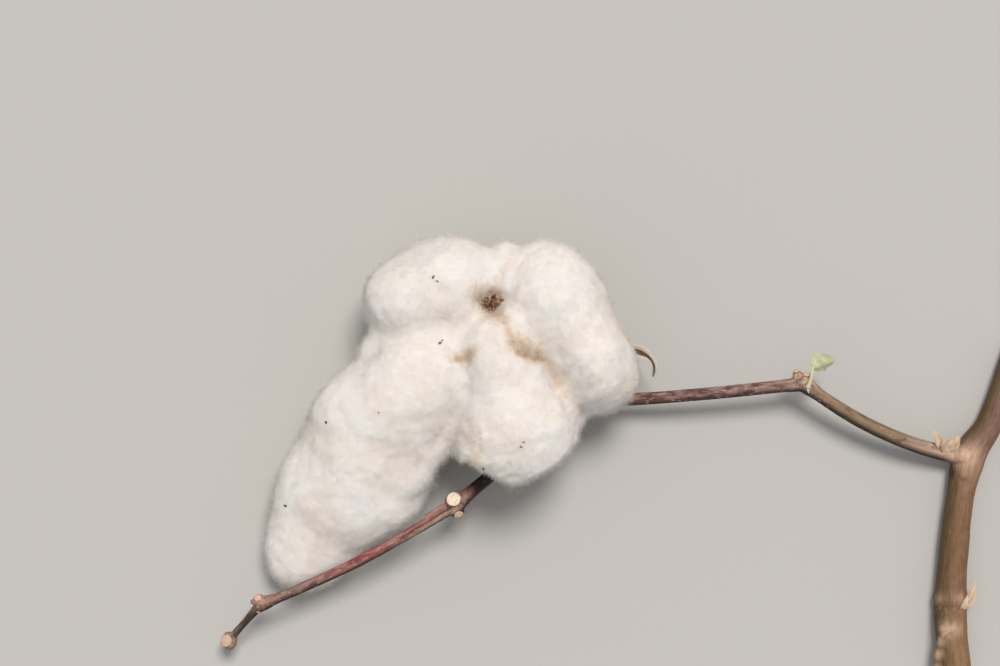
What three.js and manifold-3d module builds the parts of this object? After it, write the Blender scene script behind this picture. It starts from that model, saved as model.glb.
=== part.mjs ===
// A cut length of ripe cotton plant, lying down: a piece of the main stem, the zigzag fruiting branch
// that leaves it, and the open boll that the branch carries. Millimetres, +Z up. X runs from the tip of
// the branch towards the main stem, Y up the plant, and the plane Z = 0 is what the cut piece lies on.
import * as THREE from "three";
import { mergeVertices } from "three/addons/utils/BufferGeometryUtils.js";
import Module from "manifold-3d";

const wasm = await Module();
wasm.setup();

const CLEARANCE = 0.35; // between two pieces that touch on the plant
const FLOOR_BLOCK = 600; // side of the block that cuts everything off at Z = 0

// Points that the whole plant is laid out from: the joints of the zigzag, and the base of the boll.
const STEM_FOOT = new THREE.Vector3(116.8, -77.2, 5.8);
const STEM_LOW_JOINT = new THREE.Vector3(115.2, -53.0, 5.3);
const STEM_JOINT = new THREE.Vector3(121.8, -0.3, 5.6);
const STEM_BEND = new THREE.Vector3(129.0, 11.4, 4.9);
const STEM_TOP = new THREE.Vector3(139.2, 39.8, 4.2);
const FIRST_JOINT = new THREE.Vector3(61.7, 26.3, 15);
const BOLL_JOINT = new THREE.Vector3(-18.0, 19.6, 9);
const SCAR_JOINT = new THREE.Vector3(-61.1, -16.1, 20.5);
const LAST_JOINT = new THREE.Vector3(-129.2, -51.0, 18);
const BRANCH_END = new THREE.Vector3(-141.0, -64.3, 10.5);
const BOLL_BASE = new THREE.Vector3(-37.3, 37.4, 19);

const LIMB_SIDES = 12;
const LIMB_STEP = 4.5; // length of one ring of a limb

// Main stem: woody, thinner above the joint that the branch leaves.
const STEM_RADIUS = { foot: 5.7, belowJoint: 4.6, aboveJoint: 4.6, top: 4.2 };
const STEM_SWELLING = { joint: 1.1, lowJoint: 0.4, reach: 9 };
const STEM_SIDES = 16;

// Branch: each internode springs from the side of the knuckle that ends the one before it.
const INTERNODES = [
  {
    name: "branch_internode_1",
    from: STEM_JOINT,
    to: FIRST_JOINT,
    bow: new THREE.Vector3(-0.6, -4.4, 1.0),
    radius: [2.9, 2.2],
    collar: 1.5,
    knuckle: 0.9,
  },
  {
    name: "branch_internode_2",
    from: FIRST_JOINT,
    to: BOLL_JOINT,
    bow: new THREE.Vector3(0, -0.8, 1.5),
    radius: [2.2, 2.3],
    collar: 0.5,
    knuckle: 0.9,
  },
  {
    name: "branch_internode_3",
    from: BOLL_JOINT,
    to: SCAR_JOINT,
    bow: new THREE.Vector3(0, -0.4, -2.0),
    radius: [2.4, 2.2],
    collar: 0.5,
    knuckle: 0.9,
  },
  {
    name: "branch_internode_4",
    from: SCAR_JOINT,
    to: LAST_JOINT,
    bow: new THREE.Vector3(0, -2.4, 1.2),
    radius: [2.0, 1.7],
    collar: 0.4,
    knuckle: 0.9,
  },
  {
    name: "branch_tip",
    from: LAST_JOINT,
    to: BRANCH_END,
    bow: new THREE.Vector3(-0.4, -0.4, 0),
    radius: [1.4, 1.1],
    collar: 0.4,
    knuckle: 0.5,
  },
];
const KNUCKLE_REACH = 4.5; // how far a knuckle's or collar's swelling runs along the branch

// Scars where a boll, a leaf or the next joint has dropped off: short pads with a flat face.
const SCARS = {
  branch_internode_1: [
    { offset: [-2.3, 2.6, 0.3], facing: [-0.35, 1, 0.3], radius: 1.3, depth: 2.6 },
    { offset: [0.3, 1.9, 0.8], facing: [0.1, 1, 0.5], radius: 1.6, depth: 2.2 },
  ],
  branch_internode_3: [
    { offset: [-0.2, 1.8, 1.8], facing: [-0.15, 0.35, 1], radius: 2.3, depth: 2.4 },
    { offset: [1.6, -2.4, 0.8], facing: [0.35, -0.75, 0.75], radius: 1.4, depth: 2.2 },
  ],
  branch_internode_4: [
    { offset: [-0.6, 1.9, 0.8], facing: [-0.3, 0.8, 0.8], radius: 1.5, depth: 2.0 },
    { offset: [-0.6, -1.7, 0.4], facing: [-0.2, -0.9, 0.3], radius: 1.2, depth: 1.8 },
  ],
  branch_tip: [{ offset: [-0.5, -0.5, 0.6], facing: [-0.5, 0.1, 1], radius: 2.1, depth: 1.8 }],
};
const SCAR_SIDES = 12;
const SCAR_FLARE = 1.25; // a pad's foot against its face

// Boll stalk, and the cup that carries the carpels, the bracts and the cotton.
const STALK_RADIUS = [2.2, 1.7];
const STALK_BOW = new THREE.Vector3(1.5, 3.0, -3.5);
const CUP = { radius: 6.2, height: 6, foot: 2.6 };

// Four woody carpels, opened flat. Angles are round the boll's axis from +X, in degrees.
const CARPEL = { length: 33, width: 19, thickness: 1.3, rise: 5, hollow: 3.4, neck: 0.14, tip: 0.09 };
const CARPEL_ANGLES = [152, 18, -68, -142];
const CARPEL_ROOT = 4.2; // where a carpel starts, out from the axis

// Three dry bracts under the carpels, each cut into long teeth. One tooth shows past the cotton, hooked.
const BRACT = { length: 27, outerLength: 0.72, toothWidth: 4.6, thickness: 0.6, fan: 17, teeth: 5, rise: -3 };
const BRACT_ANGLES = [0, 112, 216];
const BRACT_DROP = 3.2; // below the carpels' roots
const HOOK = { straight: 38.8, curl: 7.8, lift: 7, width: 3.6, blunt: 0.2 };

// Cotton: each lock is a few lobes grown together, each at a place, with its half sizes and its turn
// round Z in degrees. Lobes are listed along the lock, and smaller lumps are spread over them.
const LOCKS = {
  cotton_upper_left: [
    { at: [-79.0, 55.6, 24], half: [14.5, 14.5, 24], turn: 0 },
    { at: [-60.5, 59.0, 26], half: [18.5, 19.5, 23], turn: 0 },
  ],
  cotton_right: [
    { at: [-27.0, 55.2, 31], half: [17.5, 21, 23], turn: 25 },
    { at: [-12.3, 33.0, 29], half: [13.5, 16.5, 22], turn: 10 },
  ],
  cotton_centre: [
    { at: [-43.6, 37.4, 37], half: [14.5, 18, 16], turn: 0 },
    { at: [-39.8, 10.7, 34], half: [22.5, 20.5, 19], turn: 0 },
  ],
  cotton_hanging: [
    { at: [-71.5, 29.6, 31], half: [17, 17.5, 18], turn: 0 },
    { at: [-85.9, 16.2, 24], half: [23.7, 18, 20], turn: 0 },
    { at: [-95.5, -8.2, 17], half: [27, 21, 17], turn: 0 },
    { at: [-113.0, -30.0, 10], half: [15, 16.5, 11], turn: 0 },
  ],
};
const LOCK_BLEND = 3.5; // how softly the lobes of a lock run together
const LOCK_REACH = 40; // further than any lobe stands from the middle line of its lock
const LOCK_SIDES = 18;
const LOCK_RING = 5; // length of one ring of a lock
const LUMP = { height: 2.2, reach: 9, spacing: 5 };
const GOLDEN_ANGLE = Math.PI * (3 - Math.sqrt(5));

// The dry brown remains of the flower, in the crease where the locks meet.
const REMAINS = { at: [-48.1, 55.3, 42.0], radius: 1.9, shreds: 7, shredLength: 4.6, lean: 58, spread: 14 };

// Young leaf and its stalk at the first joint; dried bud scales in the fork, and one lower on the stem.
const LEAF = { length: 8.4, width: 7.2, thickness: 0.5, fold: 1.4, lift: 1.2, direction: 36 };
const LEAF_STALK = { from: [63.4, 26.6, 17.0], to: [64.9, 32.4, 19.0], radius: 0.6 };
const FORK_BUD = { at: [113.0, 4.2, 10.6], foot: 2.0, width: 3.6, thickness: 1.2 };
const FORK_HORNS = [
  { direction: 128, length: 6.8 },
  { direction: 58, length: 5.4 },
];
const STEM_SCALE = { at: [120, -53.2, 8.3], length: 9, width: 3.4, thickness: 1, lift: 2.2 };
const STEM_SCALE_TURN = { roll: 40, turn: 82 }; // degrees round its own midrib, then round Z

// A closed geometry with only positions, its shared vertices merged.
function welded(geometry) {
  geometry.deleteAttribute("normal");
  geometry.deleteAttribute("uv");
  return mergeVertices(geometry, 1e-4);
}

function solidOf(geometry) {
  return new wasm.Manifold(
    new wasm.Mesh({
      numProp: 3,
      vertProperties: new Float32Array(geometry.attributes.position.array),
      triVerts: new Uint32Array(geometry.index.array),
    }),
  );
}

// A solid's largest body, with no loose scraps.
function largest(solid) {
  return solid
    .decompose()
    .reduce((best, body) => (body.volume() > best.volume() ? body : best));
}

function union(solids) {
  return solids.reduce((sum, solid) => sum.add(solid));
}

// Moves every vertex of a geometry by a rule.
function reshape(geometry, rule) {
  const places = geometry.attributes.position;
  const point = new THREE.Vector3();
  for (let i = 0; i < places.count; i++) {
    point.fromBufferAttribute(places, i);
    rule(point);
    places.setXYZ(i, point.x, point.y, point.z);
  }
  return geometry;
}

function bump(distance, reach) {
  return Math.exp(-((distance / reach) ** 2));
}

function radians(degrees) {
  return THREE.MathUtils.degToRad(degrees);
}

// The curve from one point to another, pushed sideways by bow at its middle.
function bowed(from, to, bow) {
  const middle = from.clone().lerp(to, 0.5).addScaledVector(bow, 2);
  return new THREE.QuadraticBezierCurve3(from, middle, to);
}

// A limb along a curve: radius(s, length) gives its radius at the length s from its start.
function limb(curve, radius, extra = 0, sides = LIMB_SIDES) {
  const length = curve.getLength();
  const rings = Math.max(3, Math.round(length / LIMB_STEP));
  const frames = curve.computeFrenetFrames(rings, false);
  const tube = welded(new THREE.CylinderGeometry(1, 1, 1, sides, rings));
  reshape(tube, (point) => {
    const ring = Math.round((point.y + 0.5) * rings);
    const share = ring / rings;
    const size = radius(share * length, length) + extra;
    const across = frames.normals[ring].clone().multiplyScalar(point.x * size);
    const up = frames.binormals[ring].clone().multiplyScalar(-point.z * size);
    point.copy(curve.getPointAt(share)).add(across).add(up);
  });
  return solidOf(tube);
}

function ball(centre, radius) {
  return solidOf(welded(new THREE.IcosahedronGeometry(radius, 2)).translate(...centre));
}

// A short round pad with a flat face, sunk into what it grows on.
function pad(joint, { offset, facing, radius, depth }, extra = 0) {
  const direction = new THREE.Vector3(...facing).normalize();
  const top = radius + extra;
  const foot = radius * SCAR_FLARE + extra;
  const post = welded(new THREE.CylinderGeometry(top, foot, depth + extra, SCAR_SIDES));
  post.translate(0, extra / 2, 0);
  post.applyQuaternion(new THREE.Quaternion().setFromUnitVectors(new THREE.Vector3(0, 1, 0), direction));
  post.translate(joint.x + offset[0], joint.y + offset[1], joint.z + offset[2]);
  return solidOf(post);
}

function mainStem(extra = 0) {
  const curve = new THREE.CatmullRomCurve3([STEM_FOOT, STEM_LOW_JOINT, STEM_JOINT, STEM_BEND, STEM_TOP]);
  const lowJointAt = STEM_FOOT.distanceTo(STEM_LOW_JOINT);
  const jointAt = lowJointAt + STEM_LOW_JOINT.distanceTo(STEM_JOINT);
  const radius = (s, length) => {
    const below = THREE.MathUtils.lerp(STEM_RADIUS.foot, STEM_RADIUS.belowJoint, s / jointAt);
    const aboveShare = (s - jointAt) / (length - jointAt);
    const above = THREE.MathUtils.lerp(STEM_RADIUS.aboveJoint, STEM_RADIUS.top, aboveShare);
    const past = THREE.MathUtils.smoothstep(s, jointAt, jointAt + 2 * STEM_SWELLING.reach);
    return (
      THREE.MathUtils.lerp(below, above, past) +
      STEM_SWELLING.joint * bump(s - jointAt, STEM_SWELLING.reach) +
      STEM_SWELLING.lowJoint * bump(s - lowJointAt, STEM_SWELLING.reach)
    );
  };
  return limb(curve, radius, extra, STEM_SIDES);
}

// One internode with its knuckle and the scars on it.
function internode(spec, extra = 0) {
  const [thick, thin] = spec.radius;
  const radius = (s, length) =>
    THREE.MathUtils.lerp(thick, thin, s / length) +
    spec.collar * bump(s, KNUCKLE_REACH) +
    spec.knuckle * bump(length - s, KNUCKLE_REACH);
  const shaft = limb(bowed(spec.from, spec.to, spec.bow), radius, extra);
  const knuckle = ball(spec.to.toArray(), thin + spec.knuckle + extra);
  const scars = (SCARS[spec.name] ?? []).map((scar) => pad(spec.to, scar, extra));
  return union([shaft, knuckle, ...scars]);
}

function stalk(extra = 0) {
  const [thick, thin] = STALK_RADIUS;
  const top = BOLL_BASE.clone().setZ(BOLL_BASE.z - CUP.height / 2);
  const radius = (s, length) => THREE.MathUtils.lerp(thick, thin, s / length);
  return limb(bowed(BOLL_JOINT, top, STALK_BOW), radius, extra);
}

// The dried cup under the boll, a turned form on the boll's axis.
function cup(extra = 0) {
  const { radius, height, foot } = CUP;
  const profile = [
    new THREE.Vector2(0, -height / 2 - extra),
    new THREE.Vector2(foot + extra, -height / 2 - extra),
    new THREE.Vector2(radius * 0.86 + extra, -height / 8),
    new THREE.Vector2(radius + extra, height / 3),
    new THREE.Vector2(radius * 0.7 + extra, height / 2 + extra),
    new THREE.Vector2(0, height / 2 + extra),
  ];
  const turned = welded(new THREE.LatheGeometry(profile, 16)).rotateX(Math.PI / 2);
  return solidOf(turned.translate(BOLL_BASE.x, BOLL_BASE.y, BOLL_BASE.z));
}

// A thin blade that starts at the origin and runs along +X: its half width and its height above Z = 0
// are rules of the share of its length.
function blade({ length, thickness, halfWidth, height }, extra, along, across) {
  const box = welded(new THREE.BoxGeometry(1, 2, 1, along, across, 1));
  return reshape(box, (point) => {
    const share = point.x + 0.5;
    const side = point.y;
    const thick = thickness + 2 * extra;
    const x = share * (length + 2 * extra) - extra;
    const y = side * (halfWidth(share) + extra);
    point.set(x, y, height(share, side) + point.z * thick);
  });
}

function carpel(angle, extra = 0) {
  const { length, width, thickness, rise, hollow, neck, tip } = CARPEL;
  const rules = {
    length: length - CARPEL_ROOT,
    thickness,
    halfWidth: (share) =>
      (width / 2) * Math.max(tip, Math.sin(Math.PI * THREE.MathUtils.lerp(neck, 1, share)) ** 0.75),
    height: (share, side) =>
      rise * Math.sin(share * Math.PI * 0.62) + hollow * side ** 2 * Math.sin(Math.PI * share),
  };
  const shell = blade(rules, extra, 8, 4).translate(CARPEL_ROOT, 0, 0).rotateZ(radians(angle));
  return solidOf(shell.translate(BOLL_BASE.x, BOLL_BASE.y, BOLL_BASE.z));
}

// How high a tooth of a bract lies at the distance x from the cup.
function toothHeight(x, length) {
  return BRACT.rise * Math.sin(Math.min(x / length, 1) * Math.PI * 0.9);
}

// The long tooth: straight out along +X, then curled round a quarter circle towards -Y.
function hook(extra) {
  const { straight, curl, lift, width, blunt } = HOOK;
  const whole = straight + (curl * Math.PI) / 2;
  const box = welded(new THREE.BoxGeometry(1, 2, 1, 18, 1, 1));
  reshape(box, (point) => {
    const share = point.x + 0.5;
    const along = share * whole;
    const turn = Math.max(0, along - straight) / curl;
    const ahead = new THREE.Vector3(Math.cos(turn), -Math.sin(turn), 0);
    const aside = new THREE.Vector3(Math.sin(turn), Math.cos(turn), 0);
    const offset = point.y * ((width / 2) * Math.max(blunt, 1 - share ** 3) + extra);
    const rise = lift * THREE.MathUtils.smoothstep(along, BRACT.length / 2, straight);
    const height = toothHeight(along, BRACT.length) + rise + point.z * (BRACT.thickness + 2 * extra);
    const beyond = 2 * point.x * extra;
    const x = Math.min(along, straight) + curl * Math.sin(turn);
    const y = -curl * (1 - Math.cos(turn));
    point.set(x, y, height).addScaledVector(aside, offset).addScaledVector(ahead, beyond);
  });
  return solidOf(box);
}

// A bract is a fan of narrow teeth, grown together over their lower part.
function bract(angle, hooked, extra = 0) {
  const { length, outerLength, toothWidth, thickness, fan, teeth } = BRACT;
  const middle = (teeth - 1) / 2;
  const tooth = (i) => {
    const outer = Math.abs(i - middle) / middle;
    const plain = {
      length: length * THREE.MathUtils.lerp(1, outerLength, outer),
      thickness,
      halfWidth: (share) => (toothWidth / 2) * Math.max(0.12, 1 - share ** 1.6),
      height: (share) => toothHeight(share * length, length),
    };
    if (hooked && i === middle) return hook(extra);
    return solidOf(blade(plain, extra, 5, 1).rotateZ(radians((i - middle) * fan)));
  };
  return union(Array.from({ length: teeth }, (_, i) => tooth(i)))
    .rotate([0, 0, angle])
    .translate([BOLL_BASE.x, BOLL_BASE.y, BOLL_BASE.z - BRACT_DROP]);
}

// How far a point lies outside a lock's lobes, which run softly together.
function outsideLobes(lobes, point) {
  const sum = lobes.reduce((total, { at, half, turn }) => {
    const from = new THREE.Vector3(...at).sub(point).negate();
    from.applyAxisAngle(new THREE.Vector3(0, 0, 1), -radians(turn));
    const stretched = from.clone().divide(new THREE.Vector3(...half)).length();
    const gap = (stretched - 1) * Math.min(...half);
    return total + Math.exp(-gap / LOCK_BLEND);
  }, 0);
  return -LOCK_BLEND * Math.log(sum);
}

// One lock of cotton: a skin round the line through its lobes, pushed out to them, with lumps on it.
function lock(name, extra = 0) {
  const lobes = LOCKS[name];
  const line = new THREE.CatmullRomCurve3(lobes.map(({ at }) => new THREE.Vector3(...at)));
  const up = new THREE.Vector3(0, 0, 1);
  const surface = (share, cap, turn) => {
    const from = line.getPointAt(share);
    const ahead = line.getTangentAt(share);
    const aside = new THREE.Vector3().crossVectors(ahead, up).normalize();
    const above = new THREE.Vector3().crossVectors(aside, ahead);
    const out = aside.multiplyScalar(Math.cos(turn) * Math.sin(cap));
    out.addScaledVector(above, Math.sin(turn) * Math.sin(cap));
    out.addScaledVector(ahead, -Math.cos(cap));
    let outer = LOCK_REACH;
    while (outsideLobes(lobes, from.clone().addScaledVector(out, outer - 1)) > 0) outer -= 1;
    let inner = outer - 1;
    for (let i = 0; i < 8; i++) {
      const half = (inner + outer) / 2;
      if (outsideLobes(lobes, from.clone().addScaledVector(out, half)) > 0) outer = half;
      else inner = half;
    }
    return { out, at: from.addScaledVector(out, inner) };
  };
  const length = line.getLength();
  const capRings = 4;
  const rings = Math.round(length / LOCK_RING) + 2 * capRings;
  const lumpCount = Math.round(length / LUMP.spacing) + 6;
  // Rings of a ball, shared out over the near end, the length and the far end of the lock.
  const places = (polar) => {
    const ring = (polar / Math.PI) * rings;
    const share = THREE.MathUtils.clamp((ring - capRings) / (rings - 2 * capRings), 0, 1);
    const past = ring - capRings - share * (rings - 2 * capRings);
    return { share, cap: Math.PI / 2 + (past / capRings) * (Math.PI / 2) };
  };
  const lumps = Array.from({ length: lumpCount }, (_, i) => {
    const { share, cap } = places((Math.PI * (i + 0.5)) / lumpCount);
    return surface(share, cap, i * GOLDEN_ANGLE).at;
  });
  const skin = welded(new THREE.SphereGeometry(1, LOCK_SIDES, rings));
  reshape(skin, (point) => {
    const { share, cap } = places(Math.acos(THREE.MathUtils.clamp(point.y, -1, 1)));
    const { out, at } = surface(share, cap, Math.atan2(-point.z, point.x));
    const lift = lumps.reduce((sum, lump) => sum + bump(at.distanceTo(lump), LUMP.reach), 0);
    point.copy(at).addScaledVector(out, extra + LUMP.height * (Math.min(lift, 1.2) - 0.6));
  });
  return solidOf(skin);
}

// A little star of dry shreds.
function remains(extra = 0) {
  const { at, radius, shreds, shredLength, lean, spread } = REMAINS;
  const core = ball([0, 0, 0], radius + extra);
  const shred = (i) => {
    const spike = welded(new THREE.CylinderGeometry(0.3 + extra, 0.8 + extra, shredLength + extra, 5));
    spike.translate(0, (shredLength + extra) / 2, 0);
    spike.rotateX(radians(lean + spread * Math.sin(GOLDEN_ANGLE * i)));
    spike.rotateZ(((2 * Math.PI) / shreds) * i);
    return solidOf(spike);
  };
  return union([core, ...Array.from({ length: shreds }, (_, i) => shred(i))]).translate(at);
}

// The young leaf, folded along its midrib, on its stalk.
function leaf() {
  const { length, width, thickness, fold, lift, direction } = LEAF;
  const rules = {
    length,
    thickness,
    halfWidth: (share) => (width / 2) * Math.max(0.12, Math.sin(Math.PI * (0.1 + 0.88 * share))),
    height: (share, side) => fold * Math.abs(side) + lift * share,
  };
  const from = new THREE.Vector3(...LEAF_STALK.from);
  const to = new THREE.Vector3(...LEAF_STALK.to);
  const stem = limb(new THREE.LineCurve3(from, to), () => LEAF_STALK.radius, 0, 8);
  const face = blade(rules, 0, 8, 4).translate(-0.6, 0, 0).rotateZ(radians(direction));
  return union([stem, solidOf(face.translate(to.x, to.y, to.z))]);
}

// Two pointed scales on one foot: the dried bud in the fork of stem and branch.
function forkBud() {
  const { at, foot, width, thickness } = FORK_BUD;
  const horns = FORK_HORNS.map(({ direction, length }) => {
    const rules = {
      length,
      thickness,
      halfWidth: (share) => (width / 2) * Math.max(0.15, 1 - share ** 1.8),
      height: () => 0,
    };
    return solidOf(blade(rules, 0, 5, 2).rotateZ(radians(direction)).translate(...at));
  });
  return union([...horns, ball(at, foot)]);
}

// The dried leaf base that clasps the stem lower down.
function stemScale() {
  const { at, length, width, thickness, lift } = STEM_SCALE;
  const { roll, turn } = STEM_SCALE_TURN;
  const rules = {
    length,
    thickness,
    halfWidth: (share) => (width / 2) * Math.max(0.15, 1 - share ** 2),
    height: (share) => lift * share ** 2,
  };
  const scale = blade(rules, 0, 6, 2).rotateX(radians(roll)).rotateZ(radians(turn));
  return solidOf(scale.translate(...at));
}

const BARK = new THREE.MeshStandardMaterial({ color: 0x8a6654, roughness: 0.75, metalness: 0 });
const WOOD_PALE = new THREE.MeshStandardMaterial({ color: 0xc8a78c, roughness: 0.8, metalness: 0 });
const HUSK = new THREE.MeshStandardMaterial({ color: 0x6b4a32, roughness: 0.7, metalness: 0 });
const DRY_BRACT = new THREE.MeshStandardMaterial({ color: 0xa8906c, roughness: 0.85, metalness: 0 });
const COTTON = new THREE.MeshStandardMaterial({ color: 0xf0eae2, roughness: 0.95, metalness: 0 });
const GREEN = new THREE.MeshStandardMaterial({ color: 0xa9b377, roughness: 0.6, metalness: 0 });

const group = new THREE.Group();

// The half space under the floor, which flattens what the cut piece rests on.
const ground = welded(new THREE.BoxGeometry(FLOOR_BLOCK, FLOOR_BLOCK, FLOOR_BLOCK));
const floor = solidOf(ground.translate(0, 0, -FLOOR_BLOCK / 2));

function place(name, solid, material) {
  const mesh = largest(solid.subtract(floor)).getMesh();
  const geometry = new THREE.BufferGeometry();
  const places = new Float32Array(mesh.vertProperties);
  geometry.setAttribute("position", new THREE.BufferAttribute(places, mesh.numProp));
  geometry.setIndex(new THREE.BufferAttribute(new Uint32Array(mesh.triVerts), 1));
  geometry.computeVertexNormals();
  const piece = new THREE.Mesh(geometry, material);
  piece.name = name;
  group.add(piece);
}

// Hard pieces, from the stem outwards. Each is cut clear of those before it that it touches.
const hard = [];
function addHard(name, build, material) {
  const cut = hard.reduce((solid, before) => solid.subtract(before(CLEARANCE)), build(0));
  place(name, cut, material);
  hard.push(build);
}

addHard("main_stem", mainStem, BARK);
for (const spec of INTERNODES) addHard(spec.name, (extra) => internode(spec, extra), BARK);
addHard("boll_stalk", stalk, BARK);
addHard("boll_cup", cup, HUSK);
CARPEL_ANGLES.forEach((angle, i) =>
  addHard(`boll_carpel_${i + 1}`, (extra) => carpel(angle, extra), HUSK),
);
BRACT_ANGLES.forEach((angle, i) =>
  addHard(`boll_bract_${i + 1}`, (extra) => bract(angle, i === 0, extra), DRY_BRACT),
);
addHard("flower_remains", remains, HUSK);
const amongCotton = hard.length;
addHard("young_leaf", leaf, GREEN);
addHard("fork_bud", forkBud, WOOD_PALE);
addHard("stem_scale", stemScale, WOOD_PALE);

// Cotton fills in round the hard pieces, and each lock is cut clear of those before it.
const hardRoom = union(hard.slice(0, amongCotton).map((build) => build(CLEARANCE)));
const filled = [];
for (const name of Object.keys(LOCKS)) {
  const cut = filled.reduce((solid, before) => solid.subtract(before), lock(name).subtract(hardRoom));
  place(name, cut, COTTON);
  filled.push(lock(name, CLEARANCE));
}

export default group;
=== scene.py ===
import math

import bmesh
import bpy
import numpy as np
from mathutils import Matrix, Vector, kdtree, noise


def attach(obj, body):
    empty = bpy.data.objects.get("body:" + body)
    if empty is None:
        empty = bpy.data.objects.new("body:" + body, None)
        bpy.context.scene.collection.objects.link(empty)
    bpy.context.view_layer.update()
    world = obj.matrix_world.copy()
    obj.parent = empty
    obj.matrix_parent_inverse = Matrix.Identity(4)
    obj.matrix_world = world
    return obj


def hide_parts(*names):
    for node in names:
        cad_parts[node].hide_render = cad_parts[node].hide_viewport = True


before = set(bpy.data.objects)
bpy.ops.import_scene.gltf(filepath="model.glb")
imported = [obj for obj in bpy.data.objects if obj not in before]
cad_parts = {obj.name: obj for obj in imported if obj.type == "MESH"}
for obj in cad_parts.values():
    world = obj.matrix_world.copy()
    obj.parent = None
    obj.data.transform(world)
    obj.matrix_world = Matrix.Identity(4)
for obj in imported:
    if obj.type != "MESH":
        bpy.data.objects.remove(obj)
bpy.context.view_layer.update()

MM = 0.001

# The camera looks straight down on the cut branch from 830 mm above the floor. The middle of its
# picture lies beside the boll, a little above the branch.
EYE = Vector((-0.04535, 0.0441, 0.83))
SENSOR_WIDTH = 36
FOCAL_LENGTH = 83.3
camera = bpy.data.objects.new("camera", bpy.data.cameras.new("camera"))
camera.data.sensor_width = SENSOR_WIDTH
camera.data.lens = FOCAL_LENGTH
camera.location = EYE
bpy.context.scene.collection.objects.link(camera)
bpy.context.scene.camera = camera

# A plain pale floor under soft studio light. The key light comes from the upper right, so the left
# and lower side of every stem and lock lie in shade, and an even pale daylight fills the rest.
FLOOR_SIDE = 6.0
FLOOR_COLOUR = (0.5, 0.488, 0.46, 1)
FLOOR_ROUGHNESS = 0.9
LIGHTS = (
    # name, where it comes from, strength, how wide it looks in degrees, colour
    ("key", (0.15, 0.42, 0.895), 2.45, 20, (1, 0.965, 0.925)),
    ("fill", (-0.6, -0.35, 0.72), 0.25, 70, (1, 0.98, 0.96)),
)
DAYLIGHT = (0.97, 0.97, 1.0, 1)
DAYLIGHT_STRENGTH = 0.4


def new_object(name, mesh):
    thing = bpy.data.objects.new(name, mesh)
    bpy.context.scene.collection.objects.link(thing)
    return thing


floor_mesh = bpy.data.meshes.new("floor")
with_floor = bmesh.new()
bmesh.ops.create_grid(with_floor, x_segments=1, y_segments=1, size=FLOOR_SIDE / 2)
with_floor.to_mesh(floor_mesh)
with_floor.free()
floor = new_object("floor", floor_mesh)
floor_paint = bpy.data.materials.new("floor_paint")
floor_paint.use_nodes = True
paint_sockets = floor_paint.node_tree.nodes["Principled BSDF"].inputs
paint_sockets["Base Color"].default_value = FLOOR_COLOUR
paint_sockets["Roughness"].default_value = FLOOR_ROUGHNESS
floor_mesh.materials.append(floor_paint)

for name, source, strength, width, colour in LIGHTS:
    lamp = bpy.data.objects.new(name, bpy.data.lights.new(name, "SUN"))
    lamp.data.energy = strength
    lamp.data.angle = math.radians(width)
    lamp.data.color = colour
    lamp.rotation_euler = Vector(source).to_track_quat("Z", "Y").to_euler()
    bpy.context.scene.collection.objects.link(lamp)

world = bpy.data.worlds.new("studio")
world.use_nodes = True
sky_sockets = world.node_tree.nodes["Background"].inputs
sky_sockets["Color"].default_value = DAYLIGHT
sky_sockets["Strength"].default_value = DAYLIGHT_STRENGTH
bpy.context.scene.world = world
bpy.context.scene.view_settings.view_transform = "Standard"

# The main stem: a ripe, woody stem with dry ridged bark, cut flat at both ends. It is thicker below
# the joint that the branch leaves, bends outwards above it, and carries an old leaf ring lower down.
STEM_POINTS = (
    (116.8, -77.2, 5.8),
    (115.2, -53, 5.3),
    (121.8, -0.3, 5.6),
    (129, 11.4, 4.9),
    (139.2, 39.8, 4.2),
)
STEM_RADIUS = {"foot": 5.7, "below": 4.6, "above": 4.6, "top": 4.2}
STEM_SWELLING = {"joint": 1.1, "low_joint": 0.4, "reach": 9.0}
WOOD_VOXEL = 0.36 * MM
ROUTE_STEP = 0.5
LIMB_SIDES = 28
FLOOR_GAP = 0.05 * MM
RIDGE_HEIGHT = 0.36
CRACK_HEIGHT = 0.5
GRIT_HEIGHT = 0.1
# the old leaf's ring round the stem, with a low collar above it
RING_DEPTH = 0.3
RING_REACH = 0.8
COLLAR_HEIGHT = 0.35
COLLAR_UP = 2.4
COLLAR_REACH = 1.5
BARK_ZONES = (
    # along the stem from its foot in millimetres, colour of the side toward the key light; painted shade
    # darkens the far side
    (0, 0.245, 0.136, 0.06), (22, 0.225, 0.122, 0.056), (30, 0.192, 0.095, 0.044),
    (60, 0.208, 0.108, 0.048), (72, 0.27, 0.14, 0.076), (84, 0.185, 0.096, 0.062),
    (125, 0.17, 0.086, 0.06),
)
BLEACHED_BARK = (0.44, 0.3, 0.25, 1)
BREATHING_SPOT = (0.6, 0.45, 0.37, 1)
SPOT_STRETCH = (1.05, 1.05, 0.4)
CUT_WOOD = (0.62, 0.47, 0.3, 1)
# how Blender keeps one, three or four numbers for a point
FIELD_KINDS = {1: ("FLOAT", "value"), 3: ("FLOAT_VECTOR", "vector"), 4: ("FLOAT_COLOR", "color")}


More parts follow.
